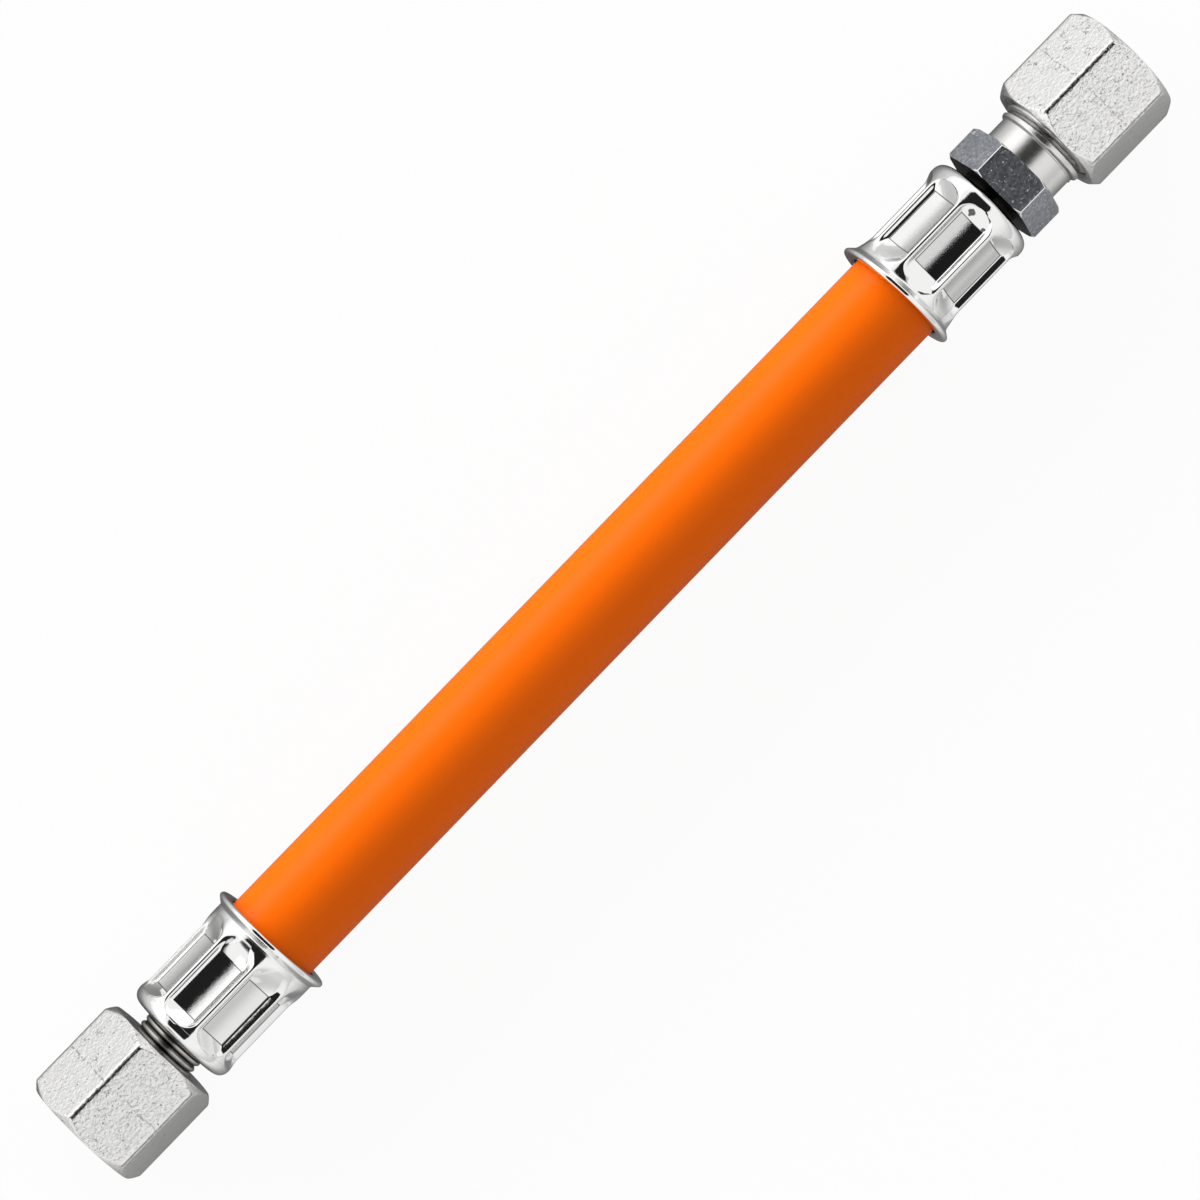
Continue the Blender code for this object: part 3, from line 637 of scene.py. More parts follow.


def turned_steel(name, heights, cut_tones, groove_shade):
    """Turned bar, with the hexagon's zinc between two heights. Groove shade is the two radii between which
    painted shade fades out of the grooves, the height where it starts, and how dark it is."""
    made, steel, mm = start_finish(name)
    around, radius, z = round_axis(steel, mm)
    rings = noise(steel, steel.node("CombineXYZ", None, {2: z}), 7.0, 3.0, 0.7)
    cloud = noise(steel, mm, 0.8, 4.0, 0.65)
    mottle = noise(steel, mm, 2.2, 4.0, 0.65)
    specks = steel.smooth(noise(steel, mm, 2.6, 2.0, 0.6), 0.66, 0.71)
    crossing = steel.node("VectorRotate", {"rotation_type": "Z_AXIS"}, {"Vector": mm, "Angle": SCRATCH_ANGLE})
    hairs = (noise(steel, stretched(steel, crossing, (1.0, 1.0, 0.4)), 1.5, 1.0) - 0.5).math("ABSOLUTE")
    scratch = steel.fade(hairs, 0.003, 0.011) * steel.smooth(noise(steel, mm, 1.1, 1.0), 0.52, 0.57)

    bottom, top = heights
    on_hexagon = steel.band(z, (bottom - 0.05, bottom), (top, top + 0.05))
    off_flat = around.turned_from(math.pi + STUD_CLOCK, SIXTH)
    inset = STUD_FLATS / 2 - radius * off_flat.math("COSINE")
    border = steel.band(inset, *BORDER) * on_hexagon
    bar = steel.mix(steel.smooth(mottle, 0.36, 0.64), *BAR_TONES)
    bar = steel.mix(steel.smooth(cloud, 0.4, 0.6, 0.0, 0.3), bar, BAR_CLOUD)
    bar = steel.mix((specks * 0.9).math("MAXIMUM", scratch * 0.75), bar, SPECK_TONE)
    bar = steel.mix(border, bar, RUBBED_TONE)
    tone = steel.mix(on_hexagon, steel.mix(rings, *cut_tones), bar)

    # Painted shade: dark in the gap behind the hexagon and in the grooves.
    gap_shade = steel.band(z, GAP_START, (bottom + 0.01, bottom + 0.05)) * steel.fade(radius, *GAP_EDGE)
    root, crest, start, darkness = groove_shade
    shaded_groove = steel.band(radius, (root - 0.6, root - 0.4), (root, crest))
    shaded_groove = shaded_groove * (steel.smooth(z, start, start + 0.2) * darkness)
    tone = steel.mix(gap_shade.math("MAXIMUM", shaded_groove), tone, PAINTED_SHADE_TONE)
    turned = bump(steel, rings * (1 - on_hexagon), 0.01)
    wear_and_painted_reflection = on_hexagon * (0.03 + mottle * 0.05 + specks * 0.3 + scratch * 0.15)
    close_finish(
        steel, Base_Color=tone, Metallic=1.0, Roughness=0.21 + rings * 0.08 + wear_and_painted_reflection,
        Normal=bump(steel, noise(steel, mm, 5.0, 4.0, 0.7), 0.014, turned))
    return made


NO_HEXAGON = -9.0, -8.0            # heights that no piece reaches
# Painted shade in the grooves of the stud's thread and of the tail's ribs.
THREAD_GROOVE_SHADE = 6.2, 6.42, 27.65, 0.6
RIB_GROOVE_SHADE = 4.45, 4.62, 17.0, 1.0
NO_GROOVE_SHADE = 1.0, 1.1, 0.0, 0.0
NECK_TONES = (0.70, 0.69, 0.67), (0.86, 0.855, 0.84)
# The tail's neck is painted darker: painted shade from the nut and the sleeve around it.
TAIL_SHADED_TONES = (0.40, 0.385, 0.36), (0.72, 0.705, 0.68)
stud_steel = turned_steel("turned_steel", STUD_HEX, NECK_TONES, THREAD_GROOVE_SHADE)
tail_steel = turned_steel("turned_steel_tail_shaded", NO_HEXAGON, TAIL_SHADED_TONES, RIB_GROOVE_SHADE)
ring_steel = turned_steel("turned_steel_ring", NO_HEXAGON, NECK_TONES, NO_GROOVE_SHADE)
print("turned steel:", len(stud_steel.node_tree.nodes), "nodes")

# %% [markdown]
# ### Hidden layers
#
# Under the cover lie a textile braid and a gas-tight lining of black rubber. Neither shows once the
# sleeves are crimped, so the fixed solids keep their shape and only take a finish each. The braid's
# yarns are two sets of slanted lines that wind opposite ways, and the higher of the two lies on top.

# %% Rubber and yarn of the hidden layers
YARNS, YARN_SLANT = 24, 0.8        # yarns round the hose, and how far they turn along it
black_rubber, rubber, mm = start_finish("black_rubber")
grain = noise(rubber, mm, 3.0, 3.0)
close_finish(
    rubber, Base_Color=rubber.mix(grain, (0.012, 0.012, 0.012), (0.03, 0.03, 0.03)),
    Roughness=rubber.smooth(grain, 0.3, 0.7, 0.42, 0.58), Normal=bump(rubber, grain, 0.02))

braid_yarn, yarn, mm = start_finish("braid_yarn")
x, y, z = yarn.parts(mm)
turn = y.math("ARCTAN2", z) * (YARNS / math.tau)
one_way = (turn + x * YARN_SLANT).math("PINGPONG", 0.5) * 2
other_way = (turn - x * YARN_SLANT).math("PINGPONG", 0.5) * 2
strands = one_way.math("MAXIMUM", other_way)
close_finish(
    yarn, Base_Color=yarn.mix(strands, (0.30, 0.29, 0.26), (0.75, 0.73, 0.68)),
    Roughness=yarn.smooth(strands, 0.0, 1.0, 0.85, 0.65), Normal=bump(yarn, strands, 0.12))
for node, finish in (("hose_lining", black_rubber), ("hose_braid", braid_yarn)):
    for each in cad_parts[node].material_slots:
        each.material = finish
print("hidden layers finished")

# %% [markdown]
# ## Hose
#
# The cover is a plain tube between the sleeves. Under each sleeve the crimp presses it to eight
# flats, and it takes up exactly the room that the sleeve leaves. So the shape of the sleeve's
# pockets comes first, as a function that the sleeve and the hose share.

# %% The pressed pockets
BODY = 8.175                       # radius of the sleeve's body
SHEET = 0.95
HOSE_RADIUS = 6.925
CLEARANCE = 0.3
RIDGE_DROP = 0.2                   # of the ridges between pockets below the body
FLOOR_EDGE = math.atan(FLOOR_HALF_WIDTH / POCKET_FLOOR)
FLOOR_HOLLOW = 0.26
WALL_DEPTH = 1.05
HOLLOW_END = 2.5                   # how far past its floor a pocket is still hollow
FOOT_SLOPE = math.radians(33)      # at which the hollow floor meets the wall
STEEP_WALL = 0.88, math.radians(82), 0.9, 0.48    # width, steepest lean, rounding of foot and edge
GENTLE_WALL = 0.75, math.radians(67), 0.5, 0.3
WALL_CORNER = 0.08                 # rounding where the floor's ramp runs into the ridge
CREASE = 1.64                      # height where the body ends and the flare begins
RAMP_DENT = 0.08                   # what is left of a pocket's depth where its ramp ends
SHOULDER_REACH = 1.9               # how far a pocket runs out past its floor, towards the shoulder
SHOULDER_RISE = 0.74               # height won on the ramp there, for each mm
CRIMP_END = 0.4, 2.2               # distances past the floor between which the ridges rise again


def smoothstep(value, low, high):
    t = np.clip((value - low) / (high - low), 0, 1)
    return t * t * (3 - 2 * t)


def lower_of(first, second, soft):
    """The smaller of two heights, with the corner between them rounded."""
    t = np.clip(0.5 + 0.5 * (second - first) / soft, 0, 1)
    return second + (first - second) * t - soft * t * (1 - t)


def past_floor(height, middle):
    return np.maximum(np.abs(height - middle) - FLOOR_HALF_LENGTH, 0)


def mouth_ramp(middle, ramp_end):
    """How long the ramp is that runs from a pocket's floor up towards the flare."""
    return middle - FLOOR_HALF_LENGTH - ramp_end


def floor_height(off, height, press):
    """Radius of a pocket's floor and of the ramps past its two ends. A press is the height of the
    pockets' middle, the height where their ramps end, the twist of the jaws and the side, 1 or -1, on
    which they leave a gentle wall."""
    middle, ramp_end, twist = press[:3]
    past = past_floor(height, middle)
    mouth_rise = (BODY - POCKET_FLOOR - RAMP_DENT) / mouth_ramp(middle, ramp_end)
    rise = np.where(height > middle, SHOULDER_RISE, mouth_rise)
    across = np.clip(off / FLOOR_EDGE, -1, 1)
    hollow = FLOOR_HOLLOW * (1 - across ** 2) * (1 - smoothstep(past, 0, HOLLOW_END))
    return POCKET_FLOOR / np.cos(off) - hollow + twist * POCKET_FLOOR * np.tan(off) + rise * past


def off_pocket(angle, clock):
    """The angle from the middle of the nearest pocket."""
    return (angle - clock + HALF_PITCH) % PITCH_ANGLE - HALF_PITCH


def ridge_height(height, middle, body):
    crimped = 1 - smoothstep(past_floor(height, middle), *CRIMP_END)
    return body - RIDGE_DROP * crimped


# %% The hose
HOSE_INSERTION = 15.25             # of the hose in each sleeve
CRIMP_REACH = 5.95                 # from the pockets' middle to where the crimp ends
CRIMP_START = 0.3, 1.8             # distances from there between which the hose is pressed flat
COVER_BORE = 5.05


def hose_cover():
    angle = evenly_round(96)
    free = np.linspace(MOUTH_B, MOUTH_A, 61)
    inserted = np.linspace(0, HOSE_INSERTION, 31)[1:]
    x = np.concatenate([MOUTH_B - inserted[::-1], free, MOUTH_A + inserted])[:, None]
    outer = np.full((len(x), len(angle)), HOSE_RADIUS)
    for depth, middle, clock in ((x - MOUTH_A, POCKET_MIDDLE_A, CLOCK_A),
                                 (MOUTH_B - x, POCKET_MIDDLE_B, CLOCK_B)):
        off = off_pocket(angle, clock)
        flat = (POCKET_FLOOR - SHEET - CLEARANCE) / np.cos(off)
        start, end = CRIMP_START
        pressed_in = smoothstep(depth, middle - CRIMP_REACH + start, middle - CRIMP_REACH + end)
        outer = np.minimum(outer, HOSE_RADIUS + (flat - HOSE_RADIUS) * pressed_in)
    radius = np.concatenate([outer, np.full_like(outer, COVER_BORE)])
    height = np.concatenate([x, x[::-1]])
    return ring_mesh("rubber_hose", radius, height, angle[None, :], 50)


# The section is swept about Z here, and the hose runs along X: its angle starts at straight up.
HOSE_FRAME = Matrix(((0, 0, 1, 0), (0, -1, 0, 0), (1, 0, 0, 0), (0, 0, 0, 1)))
rubber_hose = fit(hose_cover(), HOSE_FRAME, "hose_assembly", "orange_rubber", orange_rubber, "hose_cover")

# %% [markdown]
# ## Sleeves
#
# Each sleeve is one sheet of steel: a lip in the fitting's groove, a rounded shoulder, the body with
# eight pockets, and a mouth that flares out. The grid's lines crowd together on the walls of the
# pockets, where the surface turns fastest. The jaws of the press never close quite square, so each
# pocket has a steep wall on one side and a gentle one on the other, and the mouth leans a little.

# %% Grid lines and radius of the pressed part
LEAST_ROUND = 0.002                # keeps the floor's rounded end from closing to a point
NARROWER = 0.75                    # share of its width that a floor loses on the mouth's ramp
NARROW_RAMP = 0.1, 1.1             # shares of the ramp between which it does
EASY_RAMP = 0.5                    # share of the ramp over which the walls grow gentle
WIDER_WALL, SOFTER_WALL = 0.9, 0.95       # how much wider and softer they get
LEAST_RIDGE = 0.004                # half angle of the ridge that stays between two pockets
RUN_OUT_END = 0.8                  # past its reach a pocket's grid lines lie evenly


def wall_profile(wall):
    """A side wall as shares of its width and depth: rounded foot, straight flank, rounded edge."""
    width, lean, foot_round, edge_round = wall
    foot = np.linspace(FOOT_SLOPE, lean, 7)
    edge = np.linspace(lean, 0, 8)
    across = np.concatenate([foot_round * (np.sin(foot) - math.sin(FOOT_SLOPE)),
                             width - edge_round * np.sin(edge)])
    up = np.concatenate([foot_round * (math.cos(FOOT_SLOPE) - np.cos(foot)),
                         WALL_DEPTH - edge_round * (1 - np.cos(edge))])
    return across / width, up / WALL_DEPTH


def half_pocket(height, press, body, sign):
    """Angles from a pocket's middle to the ridge on one side of it, and the radius there.

    Each row has its own angles, so that one grid line always runs along the foot of the wall."""
    middle, ramp_end, _, gentle = press
    wall = GENTLE_WALL if sign == gentle else STEEP_WALL
    wall_across, wall_up = wall_profile(wall)
    wall_turn = wall[0] / (BODY - RIDGE_DROP - WALL_DEPTH / 2)
    past = past_floor(height, middle)
    at_shoulder = height > middle
    ramp = mouth_ramp(middle, ramp_end)
    reach = np.where(at_shoulder, SHOULDER_REACH, ramp)
    rounded = np.sqrt(np.maximum(1 - (past / SHOULDER_REACH) ** 2, LEAST_ROUND))
    narrowed = 1 - NARROWER * smoothstep(past, NARROW_RAMP[0] * ramp, NARROW_RAMP[1] * ramp)
    foot = FLOOR_EDGE * np.where(at_shoulder, rounded, narrowed)
    easing = np.where(at_shoulder, 0, smoothstep(past, 0.0, EASY_RAMP * ramp))
    top = np.minimum(foot + wall_turn * (1 + WIDER_WALL * easing), HALF_PITCH - LEAST_RIDGE)
    on_floor = foot * np.linspace(0, 1, 7)[:-1]
    on_wall = foot + (top - foot) * wall_across
    on_ridge = top + (HALF_PITCH - top) * np.array([0.5, 1.0])
    off = np.concatenate([on_floor, on_wall, on_ridge], 1)
    even = np.linspace(0, HALF_PITCH, off.shape[1])
    spread = smoothstep(past, reach, reach + RUN_OUT_END)
    off = off + (even - off) * spread
    up = np.concatenate([0 * on_floor[0], wall_up, np.ones(2)])
    eased = smoothstep(off, foot, top)
    up = up + (eased - up) * np.maximum(easing * SOFTER_WALL, spread)
    ridge = ridge_height(height, middle, body)
    low = lower_of(floor_height(sign * np.minimum(off, foot), height, press), ridge, WALL_CORNER)
    return off, low + (ridge - low) * up


def pressed(height, press, clock, body):
    """Angles and radii of the outside of the sleeve round all its pockets."""
    off_left, left = half_pocket(height, press, body, -1)
    off_right, right = half_pocket(height, press, body, 1)
    one = np.concatenate([-off_left[:, :0:-1], off_right[:, :-1]], 1)
    radius = np.concatenate([left[:, :0:-1], right[:, :-1]], 1)
    angle = np.concatenate([clock + i * PITCH_ANGLE + one for i in range(POCKETS)], 1)
    return angle, np.tile(radius, (1, POCKETS))


# %% Sleeves
SHOULDER = 1.9
SHOULDER_FULLNESS = 0.8            # below 1 the shoulder is squarer than a quarter circle
LIP_HOLE = 4.75
LIP_INSIDE = 16.85
LIP_EDGE = 0.12
FLARE_HOLLOW = 0.45                # radius of the hollow where the body turns into the flare
FLARE_CREST = 8.72, 0.42           # centre radius and size of the rolled edge
FLARE_MIDDLE = 0.424               # height of the rolled edge's centre
FLARE_SLOPE = 50
BELL = 0.5                         # radius of the bell at the start of the bore
INSIDE_START = 1.2
LEAN_FADE = 2.4, 0.8               # heights between which the mouth starts to lean
INSIDE_BEND = 0.3, 1.2             # past the floor's edge the inside rises with the wall: from, slope


def arc(radius, height, size, start, end, steps):
    """Points on an arc of a profile, with angles in degrees from straight out towards the mouth."""
    turn = np.radians(np.linspace(start, end, steps))
    return np.stack([radius + size * np.cos(turn), height - size * np.sin(turn)], 1)


def flare(shift):
    """The mouth's profile: a hollow, the flare, its rolled edge and the bell of the bore."""
    hollow = arc(BODY + FLARE_HOLLOW, CREASE + shift, -FLARE_HOLLOW, 0, -FLARE_SLOPE, 8)
    crest, size = FLARE_CREST
    middle = FLARE_MIDDLE + shift
    edge = arc(crest, middle, size, -FLARE_SLOPE, 90, 20)
    bell = arc(HOSE_RADIUS + CLEARANCE + BELL, middle - size + BELL, BELL, 90, 180, 8)
    between = edge[-1] + (bell[0] - edge[-1]) * np.array([[0.33], [0.67]])
    return np.concatenate([hollow, edge, between, bell])


def sleeve(name, press, clock, crease, end, skew):
    """One pressed sleeve from the flare's crease up to the height end. Skew leans its mouth, as slopes
    along the end's X and Y."""
    low, high = press[0] - FLOOR_HALF_LENGTH, press[0] + FLOOR_HALF_LENGTH
    turn = np.linspace(0, math.pi / 2, 16)
    shoulder = np.stack([BODY - SHOULDER * (1 - np.sin(turn) ** SHOULDER_FULLNESS),
                         end - SHOULDER * (1 - np.cos(turn) ** SHOULDER_FULLNESS)], 1)
    body_top = end - SHOULDER
    heights = np.unique(np.concatenate([
        np.linspace(body_top, high + SHOULDER_REACH, 5), np.linspace(high + SHOULDER_REACH, high, 13),
        np.linspace(high, low, 17), np.linspace(low, crease + 0.01, 26)]).round(5))[::-1][1:]
    body = np.stack([np.full_like(heights, BODY), heights], 1)
    lip = np.array([(LIP_HOLE, end - LIP_EDGE), (LIP_HOLE + LIP_EDGE, end)])
    outer = np.concatenate([lip, shoulder, body, flare(crease - CREASE)])
    height = outer[:, 1:]
    straight = np.minimum(outer[:, :1], BODY)
    angle, radius = pressed(height, press, clock, straight)
    outside = (height < body_top + 0.01) & (outer[:, :1] >= BODY)
    radius = outer[:, :1] - (straight - radius) * outside * smoothstep(height, crease - 0.3, crease)
    width = angle.shape[1]
    inside = np.linspace(INSIDE_START, LIP_INSIDE, 24)[:, None]
    inner_angle = np.broadcast_to(angle[-1:], (len(inside), width))
    off = off_pocket(inner_angle, clock)
    bend, slope = INSIDE_BEND
    past_edge = np.maximum(POCKET_FLOOR * np.tan(np.abs(off)) - FLOOR_HALF_WIDTH - bend, 0)
    over_floor = floor_height(off, inside, press) + slope * past_edge
    inner = np.minimum(over_floor - SHEET, HOSE_RADIUS + CLEARANCE)
    radius = np.concatenate([radius, inner, np.full((1, width), LIP_HOLE)])
    angle = np.concatenate([angle, inner_angle, inner_angle[:1]])
    height = np.concatenate([np.broadcast_to(height, (len(height), width)),
                             np.broadcast_to(inside, (len(inside), width)), np.full((1, width), LIP_INSIDE)])
    lean = radius * (skew[0] * np.cos(angle) + skew[1] * np.sin(angle))
    return ring_mesh(name, radius, height + lean * smoothstep(height, *LEAN_FADE), angle, 24)


# Seen along +Z of end A, straight up is -X and the clock runs towards -Y there; end B is mirrored.
PRESS_A = POCKET_MIDDLE_A, CREASE, -0.024, 1
PRESS_B = POCKET_MIDDLE_B, CREASE + 0.4, 0.045, -1
CREASE_B = CREASE - 0.54           # this sleeve's flare is rolled lower
END_OF_A = SLEEVE_LENGTH - 0.25    # and the other one's lip is pressed further in
LEAN_A, LEAN_B = (0.0, -0.03), (0.048, 0.02)
fit(sleeve("sleeve_a", PRESS_A, math.pi + CLOCK_A, CREASE, END_OF_A, LEAN_A),
    END_A, "hose_assembly", "bright_plating", plating_a, "ferrule_a")
fit(sleeve("sleeve_b", PRESS_B, -CLOCK_B, CREASE_B, SLEEVE_LENGTH, LEAN_B),
    END_B, "hose_assembly", "bright_plating", plating_b, "ferrule_b")
print("sleeves end at", round(END_OF_A, 3), "and", round(SLEEVE_LENGTH, 3))

# %% [markdown]
# ## Threads
#
# Both threads are M14 x 1.5, right-handed. A thread is a groove whose middle climbs by one pitch for
# each turn, so the radius at any point follows from how far it lies from the nearest groove. Using
# the same rule for the stud and for the nut makes them fit, and keeps them in step when the nut turns.

# %% The thread as a rule
PITCH = 1.5
CREST, ROOT = 7.0, 6.15            # radii of the male thread
ROOT_FLAT = 0.375
FLANK = math.tan(math.radians(30))
NUT_MINOR, NUT_MAJOR = 6.25, 7.12  # radii of the nuts' thread
NUT_FLAT = 0.1525                  # half the width of its flat bottom


def from_groove(angle, height, start):
    """Distance along the axis from the middle of the nearest turn of a right-handed groove."""
    climb = start + PITCH * angle / math.tau
    return np.abs((height - climb + PITCH / 2) % PITCH - PITCH / 2)


def male_thread(angle, height, start):
    away = from_groove(angle, height, start)
    return np.clip(ROOT + (away - ROOT_FLAT / 2) / FLANK, ROOT, CREST)


def female_thread(angle, height, start):
    away = from_groove(angle, height, start)
    return np.clip(NUT_MAJOR - (away - NUT_FLAT) / FLANK, NUT_MINOR, NUT_MAJOR)


# %% [markdown]
# ## Hexagons
#
# A hexagon's outline is walked once: along each flat, and round each ridge on a small arc. The arc
# matters, because a sharp ridge would never catch the dark strip that makes its thin dark line.
# The number of steps along a flat and round a ridge is the same at every height.

# %% A hexagon's outline
def hexagon(across_flats, clock, ridge, per_flat, per_ridge):
    """Angles and radii of a hexagon with rounded ridges. A flat faces the angle clock."""
    half = across_flats / 2
    centre = half - ridge
    centre_reach = centre * math.tan(SIXTH)
    x, y = [], []
    for side in range(6):
        turn = clock + side * 2 * SIXTH
        bend = np.linspace(0, 2 * SIXTH, per_ridge + 2)[1:-1]
        out = np.concatenate([np.full(per_flat, half), centre + ridge * np.cos(bend)])
        sideways = np.concatenate([np.linspace(-centre_reach, centre_reach, per_flat),
                                   centre_reach + ridge * np.sin(bend)])
        x.append(out * math.cos(turn) - sideways * math.sin(turn))
        y.append(out * math.sin(turn) + sideways * math.cos(turn))
    x, y = np.concatenate(x), np.concatenate(y)
    return np.arctan2(y, x), np.hypot(x, y)


# %% [markdown]
# ## Union nuts
#
# Each nut is one ring: the hexagon with a 45 degree chamfer at both ends, then down the bore. A
# chamfer meets the flats on a curved line, which is lower at the ridges. Since the section is worked
# out for each angle, a row of the grid follows that line exactly. Shallow dents go over the flats,
# because a forged nut is nowhere quite flat, and the thread is cut last. The thread of nut A is set
# out from the height where the stud's starts, so that its grooves lie over the stud's crests.

# %% A nut with any bore
NUT_FACE = 8.45                    # radius of the round end faces
NUT_SOFT = 0.16
NUT_EDGE_SOFT = NUT_SOFT * 1.3
DENTS, DENT_DEPTH = 60, 0.03
DENT_SIZES = 0.25, 0.8             # from the smallest to the largest
DENT_RADIUS = 8.8                  # distance from the axis at which a dent has its size
DENT_MARGIN = 1.5                  # of the nut's length at each end
PLAIN_EDGE = 0.3                   # strip along the chamfers that keeps its clean line


def forged_flats(rng, angle, height, depth):
    """A field of shallow dents, as the scale leaves them."""
    field = np.zeros(np.broadcast_shapes(angle.shape, height.shape))
    for _ in range(DENTS):
        at, tall = rng.uniform(-math.pi, math.pi), rng.uniform(DENT_MARGIN, NUT_LENGTH - DENT_MARGIN)
        wide, long = rng.uniform(*DENT_SIZES, 2)
        off = (angle - at + math.pi) % math.tau - math.pi
        shape = np.exp(-(off * DENT_RADIUS / wide) ** 2 - ((height - tall) / long) ** 2)
        field -= depth * rng.uniform(0.3, 1) * shape
    return field


def nut(clock, bore, seed):
    """A hexagon nut with its back at height 0. The bore is its section from the front to the back."""
    angle, full = hexagon(NUT_FLATS, clock, NUT_RIDGE, 26, 7)
    rear = full - NUT_FACE
    front = NUT_LENGTH - rear
    corners = [(NUT_FACE, 0.0, NUT_SOFT, 3, 2), (full, rear, NUT_EDGE_SOFT, 4, 40),
               (full, front, NUT_EDGE_SOFT, 4, 2), (NUT_FACE, NUT_LENGTH, NUT_SOFT, 3, 3)]
    radius, height = section(corners + bore)
    outside = (radius > NUT_FACE + 0.02) & (height > rear + PLAIN_EDGE) & (height < front - PLAIN_EDGE)
    dents = forged_flats(np.random.default_rng(seed), angle[None, :], height, DENT_DEPTH)
    return angle[None, :], np.where(outside, radius + dents, radius), height


def cut_thread(radius, height, angle, start, ends, fade):
    """The bore with a female thread cut into it between the heights ends. The thread grows from
    nothing to its full depth between the heights fade."""
    thread = female_thread(angle, height, start)
    cut = np.maximum(radius, NUT_MINOR + (thread - NUT_MINOR) * smoothstep(height, *fade))
    bore = (height > ends[0]) & (height < ends[1]) & (radius < NUT_FACE - 0.5)
    return np.where(bore, cut, radius)


# %% Both nuts
NUT_A_BACK, NUT_B_BACK = 29.55, 20.45     # heights of their backs above the sleeves' mouths
NECK_END = 27.55                   # height where the stud's thread starts
THREAD_MOUTH = 7.52                # radius of the bore at its open end
THREAD_ROWS = 70
BORE_SOFT, MOUTH_SOFT = 0.1, 0.08
PIPE_HOLE, SEAT, SEAT_START, SEAT_END = 4.2, 5.75, 11.35, 10.35
TAIL_HOLE, BACK_WALL, THREAD_LENGTH_B = 5.0, 3.55, 9.6
ENDS_A, FADE_A = (0.05, SEAT_END - 0.75), (SEAT_END - 1.0, SEAT_END - 2.0)
ENDS_B, FADE_B = (5.0, NUT_LENGTH - 0.05), (5.2, 6.2)


def nut_a():
    bore = [(PIPE_HOLE, NUT_LENGTH, BORE_SOFT, 2, 3), (PIPE_HOLE, SEAT_START + SEAT - PIPE_HOLE, 0.0, 0, 3),
            (SEAT, SEAT_START, 0.0, 0, 2), (SEAT, SEAT_END, 0.0, 0, 2),
            (NUT_MINOR, SEAT_END - (NUT_MINOR - SEAT), 0.0, 0, THREAD_ROWS),
            (NUT_MINOR, THREAD_MOUTH - NUT_MINOR, 0.0, 0, 6), (THREAD_MOUTH, 0.0, MOUTH_SOFT, 2, 3)]
    angle, radius, height = nut(math.pi + NUT_CLOCK, bore, 5)
    radius = cut_thread(radius, height, angle, (NECK_END - NUT_A_BACK) % PITCH, ENDS_A, FADE_A)
    return ring_mesh("swivel_nut_a", radius, height, angle, 32)


def nut_b():
    bore = [(THREAD_MOUTH, NUT_LENGTH, MOUTH_SOFT, 2, 6),
            (NUT_MINOR, NUT_LENGTH - (THREAD_MOUTH - NUT_MINOR), 0.0, 0, THREAD_ROWS),
            (NUT_MINOR, BACK_WALL + NUT_MINOR - TAIL_HOLE, 0.0, 0, 3), (TAIL_HOLE, BACK_WALL, 0.0, 0, 4),
            (TAIL_HOLE, 0.0, BORE_SOFT, 2, 3)]
    angle, radius, height = nut(-NUT_CLOCK, bore, 11)
    radius = cut_thread(radius, height, angle, NUT_LENGTH - THREAD_LENGTH_B, ENDS_B, FADE_B)
    return ring_mesh("swivel_nut_b", radius, height, angle, 32)


place_a = END_A @ Matrix.Translation((0, 0, NUT_A_BACK * MM))
place_b = END_B @ Matrix.Translation((0, 0, NUT_B_BACK * MM))
fit(nut_a(), place_a, "nut_a", "zinc_steel", zinc_a, "union_nut_a")
fit(nut_b(), place_b, "nut_b", "zinc_steel", zinc_b, "union_nut_b")

# %% [markdown]
# ## Stud of end A
#
# The stud is turned from hexagon bar: barbed stem inside the hose, hexagon, neck, and the male thread
# that runs out to full depth. The whole outline uses the hexagon's angles, and only the rows of the
# hexagon take its radii, so the stud stays one closed ring with its bore.

# %% The barbed stem of stud and tail
STEM_BORE = 2.25
BARBS, BARB_ROOT, BARB_CREST, BARB_PITCH = 5, 2.85, 3.25, 2.4
BARB_TIP, BARB_BACK = 0.7, 0.75    # shares of the pitch where a barb is highest, and where it ends
STEM_START = 1.2
COLLAR_RADIUS, COLLAR_LOW, COLLAR_HIGH = 5.4, 15.55, 16.55
GROOVE = 4.45                      # radius of the groove that the sleeve's lip grips


def stem_corners():
    """The barbed stem from its tip up to the groove."""
    corners = [(STEM_BORE, STEM_START, 0.1, 1, 1), (BARB_ROOT, STEM_START, 0.1, 1, 1)]
    for i in range(BARBS):
        low = STEM_START + i * BARB_PITCH
        corners += [(BARB_CREST, low + BARB_PITCH * BARB_TIP, 0.0, 0, 1),
                    (BARB_ROOT, low + BARB_PITCH * BARB_BACK, 0.0, 0, 1),
                    (BARB_ROOT, low + BARB_PITCH, 0.0, 0, 1)]
    return corners[:-1] + [
        (BARB_ROOT, COLLAR_LOW, 0.0, 0, 2), (COLLAR_RADIUS, COLLAR_LOW, 0.08, 1, 1),
        (COLLAR_RADIUS, COLLAR_HIGH, 0.08, 1, 2), (GROOVE, COLLAR_HIGH, 0.0, 0, 2)]


# %% Stud
STUD_RIDGE = 0.22                  # radius of the rounding between two flats
STUD_CHAMFER = 0.32
STUD_NECK = 6.05
STUD_TIP = 35.55
TIP_CHAMFER = 0.9                  # height over which the thread runs down at the tip
RUN_OUT = [NECK_END, 27.9, 30.85], [STUD_NECK, 6.5, CREST]    # heights and radii of the thread's form
PIPE_SOCKET, PIPE_DEPTH = 4.05, 7.0
CONE_MOUTH = 5.0
CONE_SLOPE = math.tan(math.radians(12))
TOUCH = 1e-6                       # how near counts as equal


